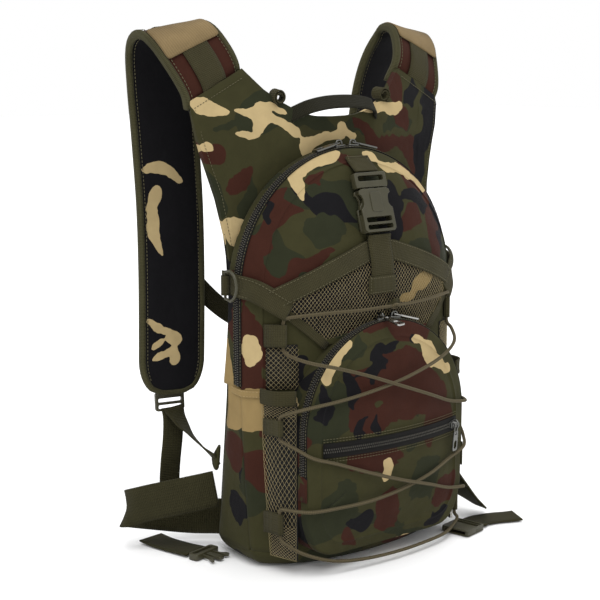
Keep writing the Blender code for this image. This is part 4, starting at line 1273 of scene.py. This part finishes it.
def build_centre_strap(looks):
    slope = front_slope(BUCKLE_Z)
    upper = [(0, front_y(0, z) - proud, z) for z, proud in
             ((402, 1.9), (399, 2.6), (396, 4.0), (392, 6.6), (388.6, 9.4))]
    obj = ribbon("centre_strap_upper", curve_through(upper, 4), (1, 0, 0), 29, 1.7, looks["webbing"])
    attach(obj, "top_flap")
    [c * MM for c in upper[0]]
    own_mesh(obj)
    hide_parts("centre_webbing_upper")
    box = [laid_on(x, z, 4.0) for x, z in ((-12, 402), (12, 402), (12, 395), (-12, 395), (-12, 402))]
    put(stitches("strap_tack", box, (0, -1, 0.3), looks["thread"], 2.6, 1.9, 0.34),
        "top_flap", "webbing")
    lower = [(0, front_y(0, z) - proud, z) for z, proud in
             ((328, 8.2), (322, 6.4), (315, 6.2), (306, 6.4), (296, 6.2), (287, 5.2), (281, 4.6))]
    obj = ribbon("centre_strap_lower", curve_through(lower, 5), (1, 0, 0), 29, 1.7, looks["webbing"])
    bend(obj, "webbing", "centre_webbing_lower")
    path = [laid_on(x, 279, 5.8) for x in (-19, -12, -4, 4, 11, 16)]
    strip("strap_tab", path, (0, 0, 1), 17, 1.6, looks["webbing"])
    edge = [laid_on(x, z, 7.0) for x, z in ((-17, 286), (14, 286), (14, 272), (-17, 272), (-17, 286))]
    put(stitches("strap_tab_stitches", edge, (0, -1, 0), looks["thread"], 3.0, 2.0, 0.34),
        "pack", "webbing")


def make_buckle(male_name, female_name, bodies, origin, along, out, size, looks):
    """A side-release buckle; local +X runs out of the female half, local +Z is its face."""
    rim = [(0, 12.5), (-1.5, 15), (-4, 15.5), (-5, 13.6), (-8, 12.2), (-12, 12.2), (-14.5, 13.6),
           (-16, 15.5), (-32, 15.5), (-34, 13.5)]
    rim = [(0, -12.5)] + rim + [(x, -y) for x, y in reversed(rim[1:])]
    slots = [rounded(-26.4, -22.4, -12.5, 12.5, 1.2), rounded(-32.0, -28.4, -12.5, 12.5, 1.2)]
    block, ridge = rounded(-34, -19.5, -15.3, 15.3, 1.5), rounded(-18.5, -3.0, -5.5, 5.5, 2.0)
    layers = [([rim] + slots, 1.9, 4.5, 0.6), ([rim] + slots, -4.5, -2.0, 0.6),
              ([block] + slots, -2.2, 2.2, 0.3), ([ridge], 4.2, 5.2, 0.4)]
    female = fused(female_name + "_piece", plates(female_name, layers, looks["plastic"], size))
    body = [(1, -15), (1, 15), (3, 15.5), (11.5, 15.5), (13, 14), (13, -14), (11.5, -15.5), (3, -15.5)]
    arm = [(2, 8.2), (-5, 8.8), (-9, 10.6), (-13, 14.6), (-15.5, 14.8), (-16.5, 12.6), (-15, 9.0),
           (-10, 6.6), (2, 5.8)]
    layers = [([body, rounded(6.3, 10.5, -12.5, 12.5, 1.2)], -3.2, 3.2, 0.7),
              ([rounded(-17, 3, -2.6, 2.6, 1.4)], -1.6, 1.6, 0.5)]
    layers += [([[(x, side * y) for x, y in arm]], -1.6, 1.6, 0.5) for side in (-1, 1)]
    male = fused(male_name + "_piece", plates(male_name, layers, looks["plastic"], size))
    for obj, name, body_name in ((male, male_name, bodies[0]), (female, female_name, bodies[1])):
        obj.matrix_world = frame_of(origin, along, out)
        put(obj, body_name, "plastic", name)


def build_buckles(looks):
    slope = front_slope(BUCKLE_Z)
    out = Vector((0, -slope.z, slope.y))
    seat = Vector((0, front_y(0, BUCKLE_Z), BUCKLE_Z))
    make_buckle("buckle_male", "buckle_female", ("buckle_tongue", "top_flap"),
                seat + out * 5.8 + slope * 13, slope, out, (1.27, 1.29, 1.1), looks)
    make_buckle("sternum_buckle_male", "sternum_buckle_female", ("sternum_tongue", "sternum_strap"),
                sternum_line(0.5) + Vector((-3, 0, -0.4)), (-1, 0, 0), (0, 1, 0), (0.8, 0.8, 0.8), looks)


# ---- harness ----

NECK = ((0, 440), (25, 441), (45, 446), (64, 455), (82, 468), (102, 488), (161, 457))
HEM = ((0, 9), (96, 9), (112, 40), (120, 110), (124, 200), (126, 262), (131, 317), (138, 365),
       (148, 400), (155, 422), (161, 453))


def build_back_panel(looks):
    half = [0, 10, 20, 30, 40, 50, 58, 66, 74, 82, 90, 97, 102, 107, 112, 118, 122, 126, 131, 138,
            145, 151, 156, 160]
    rows = []
    steps = 26
    for x in [-c for c in reversed(half[1:])] + half:
        low, high = read(HEM, abs(x)), read(NECK, abs(x))
        heights = [low + (high - low) * i / steps for i in range(steps + 1)]
        rows.append([Vector((x, panel_y(x, z) + 0.2, z)) for z in heights])
    obj = skin("yoke_and_back", rows, looks["yoke"], (0, 500, 200))
    solid = obj.modifiers.new("pad", "SOLIDIFY")
    solid.thickness = 8.0 * MM
    solid.offset = -1
    obj.data.materials.append(looks["air_mesh"])
    solid.material_offset = 1
    edge = obj.modifiers.new("edge", "BEVEL")
    edge.width = 2.2 * MM
    edge.segments = 3
    edge.limit_method = "ANGLE"
    edge.angle_limit = math.radians(50)
    bake(obj)
    rumple(obj, 1.2, 18, 5.0)
    obj.data.shade_smooth()
    obj.data.set_sharp_from_angle(angle=math.radians(60))
    put(obj, "pack", "camo", "back_panel")
    lines = []
    for sign in (-1, 1):
        top = [(x, read(NECK, x) - 8) for x in (104, 112, 120, 130, 140, 150, 156)]
        edge = ((156, 450), (151, 424), (144, 402), (134, 368), (127, 320))
        for profile, radius in ((top, 0.36), (edge, 0.3)):
            path = [Vector((sign * x, panel_y(x, z) - 0.4, z)) for x, z in profile]
            lines.append(stitches("wing_sewn", path, (0, -1, 0), looks["thread"], 3.4, 2.2, radius))
    sew("yoke_stitches", lines)


def build_back_pads(looks):
    """Two padded channels and a lumbar pad on the wearer's side."""
    for name, x0, x1, z0, z1 in (("back_pad_left", -88, -12, 120, 395),
                                 ("back_pad_right", 12, 88, 120, 395),
                                 ("lumbar_pad", -84, 84, 24, 108)):
        rows = []
        for i in range(19):
            v = i / 18
            row = []
            for j in range(13):
                u = j / 12
                x, z = x0 + (x1 - x0) * u, z0 + (z1 - z0) * v
                rise = (1 - abs(2 * u - 1) ** 4) * (1 - abs(2 * v - 1) ** 14)
                row.append(Vector((x, panel_y(x, z) + 7.5 + 6.0 * rise ** 0.6, z)))
            rows.append(row)
        obj = skin(name, rows, looks["air_mesh"], (0, -900, 250))
        thicken(obj, 2.0, levels=1)
        put(obj, "pack", "lining")


def build_handle(looks):
    half = [(-55, 15, 442), (-49, 8, 446.5), (-41, 1, 451), (-22, -1, 454.5)]
    path = curve_through(half + [(0, -1, 455.5)] + [(-x, y, z) for x, y, z in reversed(half)], 5)
    strip("handle_webbing", path, (0, 0.55, 0.84), 14.5, 2.2, looks["dark_webbing"], "haul_handle")
    for side, sign in SIDES.items():
        centre = Vector((sign * 67, 18, 461))
        spiral = []
        for i in range(40):
            turn = math.radians(-60 + 15 * i)
            radius = 7.6 - 0.11 * i
            spiral.append(centre + Vector((math.cos(turn) * radius * sign, 0, math.sin(turn) * radius)))
        strip(f"hose_port_{side}", spiral, (-0.2 * sign, 1, 0.1), 12, 1.3, looks["webbing"])


def build_compression(looks):
    for side, sign in SIDES.items():
        path = [(sign * 138.5, 13, 286), (sign * 138.5, 2, 286), (sign * 138.3, -9.5, 284.5)]
        for inset, z in ((5, 282), (12, 278), (20, 272), (28, 266), (35, 261)):
            x = half_width(z) - inset
            path.append((sign * (x + 2.4), front_y(x, z) - 2.8, z))
        points = curve_through(path, 4)
        across = [Vector((0, 0.25 * clamp((i - 8) / 12), 1)) for i in range(len(points))]
        strip(f"compression_{side}", points, across, 22, 1.5, looks["webbing"],
              f"compression_web_{side}")
        lines = []
        for shift in (-8.8, 8.8):
            line = [p + Vector((sign * 0.6, -0.6, shift)) for p in points]
            lines.append(stitches("comp_sewn", line, (sign, -1, 0), looks["thread"], 3.6, 2.4, 0.33))
        sew(f"compression_stitches_{side}", lines)
        bars = [(0, 13 - 26 * i / 6) for i in range(7)]
        bars += [(-13.5 * math.cos(math.radians(a)) - 5.0, 15 * math.sin(math.radians(a)))
                 for a in range(-75, 76, 15)]
        ring = tube(f"d_ring_bar_{side}", [(sign * 142.5, 3 + a, 284 + b) for a, b in bars], 1.55,
                    looks["plastic"], 10, closed=True)
        put(bake(ring), f"d_ring_{side}", "plastic", f"d_ring_{side}")
        roll = []
        for i in range(15):
            turn = math.radians(20 + 320 * i / 14)
            roll.append((sign * (142.5 - 3.6 * math.cos(turn)), 3 + 3.6 * math.sin(turn), 284))
        strip(f"d_ring_keeper_{side}", roll, (0, 0, 1), 19, 1.2, looks["webbing"])


STRAP_LINE = [(127.5, 41, 462), (134, 38, 479.5), (141, 45, 498), (148.5, 60, 517), (152, 80, 523),
              (149, 99, 509), (142, 110, 474), (136, 114, 424), (131, 115, 352), (130, 115, 282),
              (131, 115, 214), (132, 115, 178), (132.5, 115, 158)]
STRAP_ACROSS = [(0.877, 0.012, -0.48)] * 2
STRAP_ACROSS += [(0.92, 0.08, -0.36), (0.955, 0.15, -0.22), (0.97, 0.18, -0.12), (0.97, 0.2, 0.02),
                 (0.97, 0.21, 0.05), (0.975, 0.21, 0.03)] + [(0.978, 0.208, 0)] * 5


def strap_rings(sign):
    """Sections of a shoulder strap: centre, sideways, outward (away from the wearer) and half width."""
    rows = curve_through([(*p, *a) for p, a in zip(STRAP_LINE, STRAP_ACROSS)], 5)
    centres = [Vector((sign * row[0], row[1], row[2])) for row in rows]
    out = []
    for row, centre, way in zip(rows, centres, directions(centres)):
        across = Vector((sign * row[3], row[4], row[5]))
        across = (across - way * across.dot(way)).normalized()
        up = way.cross(across).normalized() * -sign
        share = clamp((row[2] - 158) / 34) if row[1] > 100 else 1.0
        wide = STRAP_WIDE * (0.45 + 0.55 * math.sqrt(1 - (1 - share) ** 2))
        out.append((centre, across, up, wide / 2))
    return out


def build_shoulder_strap(side, sign, looks):
    rings = strap_rings(sign)
    edge = STRAP_THICK / 2 - 0.4
    rows = []
    for centre, across, up, half in rings:
        ring = []
        for i in range(24):
            turn = 2 * math.pi * i / 24
            a = (half - 0.5) * squared(math.cos(turn), 0.45)
            b = edge * squared(math.sin(turn), 0.7)
            ring.append(centre + across * a + up * b)
        rows.append(ring)
    obj = grid(f"strap_pad_{side}", rows, looks["strap"], closed=True, caps=True)
    obj.data.materials.append(looks["strap_inside"])
    for face in obj.data.polygons:
        row, column = face.index // 24, face.index % 24
        if column >= 12 and row < len(rows) - 1:
            face.material_index = 1
    rumple(obj, 1.2, 30, 4.0 + sign)
    smooth = obj.modifiers.new("smooth", "SUBSURF")
    smooth.levels = smooth.render_levels = 1
    bake(obj)
    put(obj, "pack", "camo", f"shoulder_strap_{side}")

    left = [c - a * (h - 1.8) for c, a, _, h in rings]
    right = [c + a * (h - 1.8) for c, a, _, h in rings]
    tip_c, tip_a, _, tip_h = rings[-1]
    tip = [tip_c + tip_a * (tip_h - 1.8) * t + Vector((0, 0, -1.0)) for t in (-0.6, -0.2, 0.2, 0.6)]
    around = left + tip + list(reversed(right))
    outs = [u for _, _, u, _ in rings]
    outs = outs + [outs[-1]] * 4 + list(reversed(outs))
    wrap = []
    for point, way, up in zip(around, directions(around), outs):
        flat = way.cross(up).normalized()
        ring = []
        for i in range(12):
            turn = 2 * math.pi * i / 12
            ring.append(point + flat * 3.4 * math.cos(turn)
                        + up * (edge + 0.7) * squared(math.sin(turn), 0.7))
        wrap.append(ring)
    trim = grid(f"strap_binding_{side}", wrap, looks["binding"], closed=True, caps=True)
    put(trim, "pack", "webbing")

    parts = []
    for shift in (-1, 1):
        for height in (-1, 1):
            line = [c + a * shift * (h - 6.0) + u * height * (edge + 0.1) for c, a, u, h in rings[1:-4]]
            ups = [u * height for _, _, u, _ in rings[1:-4]]
            parts.append(stitches("strap_sewn", line, ups, looks["thread"], 3.8, 2.6, 0.4))
    sew(f"strap_stitches_{side}", parts)

    centre_web = [c + u * (edge + 1.4) for c, _, u, _ in rings[2:-3]]
    sideways = [a for _, a, _, _ in rings[2:-3]]
    strip(f"strap_web_{side}", centre_web, sideways, 29, 1.4, looks["webbing"])
    for index, (start, span) in enumerate(((12, 8), (27, 3), (39, 3), (49, 3))):
        rows = []
        for c, a, u, h in rings[start:start + span]:
            rows.append([c + a * (h - 3) * t + u * (edge + 1.5 + 0.8 * (1 - t * t))
                         for t in (-1, -0.8, -0.5, -0.2, 0.2, 0.5, 0.8, 1)])
        look = looks["elastic"] if index == 0 else looks["webbing"]
        band = grid(f"strap_band_{side}_{index + 1}", rows, look)
        put(thicken(band, 1.3, 0.0, 1), "pack", "webbing")


def build_strap_fittings(side, sign, looks):
    holes = [rounded(-12.8, 12.8, 3.6, 7.6, 1.2), rounded(-12.8, 12.8, -3.2, 0.8, 1.2)]
    layers = [([rounded(-16, 16, -10, 10, 3)] + holes, -2.2, 2.2, 0.8),
              ([rounded(-14, 14, -9.4, -5.6, 1.4)], 1.6, 3.6, 0.6)]
    lock = fused(f"lock_{side}", plates(f"lock_{side}", layers, looks["plastic"]))
    lock.matrix_world = frame_of((sign * 132.5, 119.3, 146), (sign * 0.978, 0.208, 0),
                                 (sign * 0.2, -0.97, 0.1))
    put(lock, "pack", "plastic", f"ladder_lock_{side}")
    path = curve_through([(sign * 132, 113, 141), (sign * 131, 107, 132), (sign * 129, 95, 120),
                          (sign * 126, 80, 110), (sign * 122.5, 64, 101), (sign * 119, 52, 95)], 5)
    strip(f"adjuster_{side}", path, (sign * 0.55, 0.45, 0.7), 22, 1.6, looks["belt"],
          f"adjuster_web_{side}")
    tail = curve_through([(sign * 132.5, 116, 140), (sign * 133, 112, 128), (sign * 134.5, 111, 108),
                          (sign * 136, 113, 86), (sign * 136.5, 115, 66), (sign * 136, 116, 52)], 5)
    strip(f"adjuster_tail_{side}", tail, (sign * 0.97, 0.2, 0), 22, 1.6, looks["belt"])
    rows = [[Vector((sign * 121, 44, 118)), Vector((sign * 119.5, 56, 100))],
            [Vector((sign * 122, 45, 104)), Vector((sign * 121.5, 60, 97))],
            [Vector((sign * 122.5, 46, 86)), Vector((sign * 123, 52, 84))]]
    tab = grid(f"adjuster_tab_{side}", rows, looks["side"])
    put(thicken(tab, 2.2, 0.0, 1), "pack", "camo")


def sternum_line(share):
    x = -92 + 184 * share
    sag = 50 * (1 - (2 * share - 1) ** 2)
    return Vector((x, 122 - 4 * (1 - (2 * share - 1) ** 2), 262 - sag))


def build_sternum_strap(looks):
    for side, start, end in (("left", -0.1, 0.40), ("right", 1.1, 0.66)):
        path = [sternum_line(start + (end - start) * i / 24) for i in range(25)]
        obj = ribbon(f"sternum_strap_{side}", path, (0, 0, 1), 20, 1.6, looks["belt"])
        if side == "left":
            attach(obj, "sternum_strap")
            [c * MM for c in path[0]]
            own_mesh(obj)
            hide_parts("sternum_web_left")
        else:
            put(obj, "sternum_strap", "webbing", "sternum_web_right")


BELTS = {
    "left": [(-123, 50, 66, 0, 0, 1), (-138, 58, 63, 0, 0, 1), (-158, 72, 58, 0, 0, 1),
             (-177, 87, 53, 0, -0.05, 1), (-189, 99, 48, 0.05, -0.1, 1),
             (-192, 110, 43, 0.1, -0.2, 1), (-184, 115, 38, 0, -0.3, 1),
             (-168, 113, 33, 0, -0.3, 1), (-148, 105, 29, 0, -0.25, 1),
             (-125, 93, 26, 0, -0.1, 1), (-108, 80, 26, 0, 0, 1), (-97, 70, 26, 0, 0, 1)],
    "right": [(123, 50, 66, 0, 0, 1), (131, 32, 62, 0, 0, 1), (139, 14, 55, -0.1, 0, 1),
              (146, -6, 45, -0.25, -0.1, 1), (154, -24, 31, -0.5, -0.35, 0.8),
              (162, -38, 18, -0.62, -0.6, 0.5), (169, -48, 10.5, -0.62, -0.7, 0.25)],
}
TAILS = {
    "left": [(-160, 118, 3.4), (-157, 98, 2.4), (-151, 74, 2.4), (-146, 54, 3.4)],
    "right": [(137.5, -60, 3.4), (151, -56, 2.2), (170, -60, 2.2), (186, -67, 2.2), (195, -71, 2.6)],
}


def build_waist_belt(looks):
    for side in SIDES:
        rows = curve_through(BELTS[side], 6)
        strip(f"belt_{side}", [row[:3] for row in rows], [Vector(row[3:]) for row in rows],
              38, 2.0, looks["belt"], f"waist_belt_{side}")
        path = curve_through(TAILS[side], 8)
        across = [Vector((0, 0, 1)).cross(way) for way in directions(path)]
        strip(f"belt_tail_{side}", path, across, 30, 1.6, looks["belt"], f"waist_tail_{side}")
    arm = [(2, 8.4), (-8, 9.0), (-13, 12.6), (-16, 13.0), (-17, 11), (-14, 7.6), (2, 6.6)]
    layers = [([rounded(1, 13, -17, 17, 2.5), rounded(6.2, 10.6, -14, 14, 1.4)], -3.2, 3.2, 0.8),
              ([rounded(-18, 2, -3.4, 3.4, 1.6)], -1.7, 1.7, 0.5)]
    layers += [([[(x, side * y) for x, y in arm]], -1.7, 1.7, 0.5) for side in (-1, 1)]
    male = fused("waist_male", plates("waist_male", layers, looks["plastic"]))
    male.matrix_world = frame_of((-141, 38, 3.6), (-0.24, 0.97, 0), (0, 0, 1))
    put(male, "waist_buckle_male", "plastic", "waist_buckle_male")
    slots = [rounded(-9.2, -4.8, -14, 14, 1.4), rounded(-14.4, -10.8, -14, 14, 1.4)]
    rim = rounded(-16, 16, -17, 17, 3)
    layers = [([rim] + slots, 1.6, 3.2, 0.6), ([rim] + slots, -3.2, -1.6, 0.6),
              ([rounded(-16, -0.5, -16.4, 16.4, 2)] + slots, -1.8, 1.8, 0.3)]
    for middle in (-14.6, 14.6):
        layers.append(([rounded(-1, 15.6, middle - 1.9, middle + 1.9, 0.8)], -1.8, 1.8, 0.3))
    female = fused("waist_female", plates("waist_female", layers, looks["plastic"]))
    female.matrix_world = frame_of((118, -64, 3.6), (-0.97, -0.2, 0), (0, 0, 1))
    put(female, "pack", "plastic", "waist_buckle_female")


# ---- what the bag holds ----

def build_inside(frame, looks):
    rows = []
    for i in range(25):
        z = 22 + 361 * i / 24
        wide = min(half_width(z) - 9, 118)
        y = rear_y(z) - 12 - 22 * clamp((385 - z) / 200)
        rows.append([Vector((wide * t, y + 1.2 * math.sin(t * 9 + z * 0.03) * (1 - t * t), z))
                     for t in (-1, -0.75, -0.5, -0.25, 0, 0.25, 0.5, 0.75, 1)])
    sleeve = skin("sleeve_divider", rows, looks["lining"], (0, 500, 200))
    thicken(sleeve, 0.8)
    put(sleeve, "pack", "lining", "hydration_sleeve")
    bladder = frame["nodes"]["water_bladder"]
    soft = bladder.modifiers.new("smooth", "SUBSURF")
    soft.levels = soft.render_levels = 2
    for name, look in (("water_bladder", "bladder"), ("bladder_cap", "plastic"),
                       ("bladder_outlet", "plastic")):
        node = frame["nodes"][name]
        node.data.materials.clear()
        node.data.materials.append(looks[look])


# ---- stage ----

def build_stage():
    look = Look("floor", 0.9)
    look.colour(look.mix(look.noise(look.place, 3.0), (0.93, 0.93, 0.93), (0.95, 0.95, 0.95)))
    floor = new_object("floor", [(-9000, -9000, -0.3), (9000, -9000, -0.3), (9000, 9000, -0.3),
                                 (-9000, 9000, -0.3)], [(0, 1, 2, 3)], look.made)
    world = bpy.data.worlds.new("studio")
    world.use_nodes = True
    sky = world.node_tree.nodes["Background"]
    sky.inputs["Color"].default_value = (1, 1, 1, 1)
    sky.inputs["Strength"].default_value = 1.0
    scene = bpy.context.scene
    scene.world = world
    for name, place, spread_angle, power in (("key", (-500, -650, 1500), 40, 1.5),
                                             ("rim", (900, 500, 900), 60, 0.5)):
        data = bpy.data.lights.new(name, "SUN")
        data.angle = math.radians(spread_angle)
        data.energy = power
        light = bpy.data.objects.new(name, data)
        scene.collection.objects.link(light)
        light.rotation_euler = (-Vector(place)).to_track_quat("-Z", "Y").to_euler()
    data = bpy.data.cameras.new("camera")
    data.lens = LENS
    data.sensor_width = 36
    data.clip_end = 50
    camera = bpy.data.objects.new("camera", data)
    scene.collection.objects.link(camera)
    camera.location = Vector(CAMERA) * MM
    aim = Vector(TARGET) - Vector(CAMERA)
    camera.rotation_euler = aim.to_track_quat("-Z", "Y").to_euler()
    scene.camera = camera
    scene.view_settings.view_transform = "Standard"


def build_scene():
    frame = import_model()
    looks = make_looks()
    for build in (build_front_fabric, build_base, build_side_panels, build_main_zip, build_front_pocket,
                  build_sliders, build_face_zip, build_v_pocket, build_side_pockets, build_lacing,
                  build_centre_strap, build_buckles, build_back_panel, build_back_pads, build_handle,
                  build_compression):
        build(looks)
    for side, sign in SIDES.items():
        build_shoulder_strap(side, sign, looks)
        build_strap_fittings(side, sign, looks)
    build_sternum_strap(looks)
    build_waist_belt(looks)
    build_inside(frame, looks)
    build_stage()


build_scene()
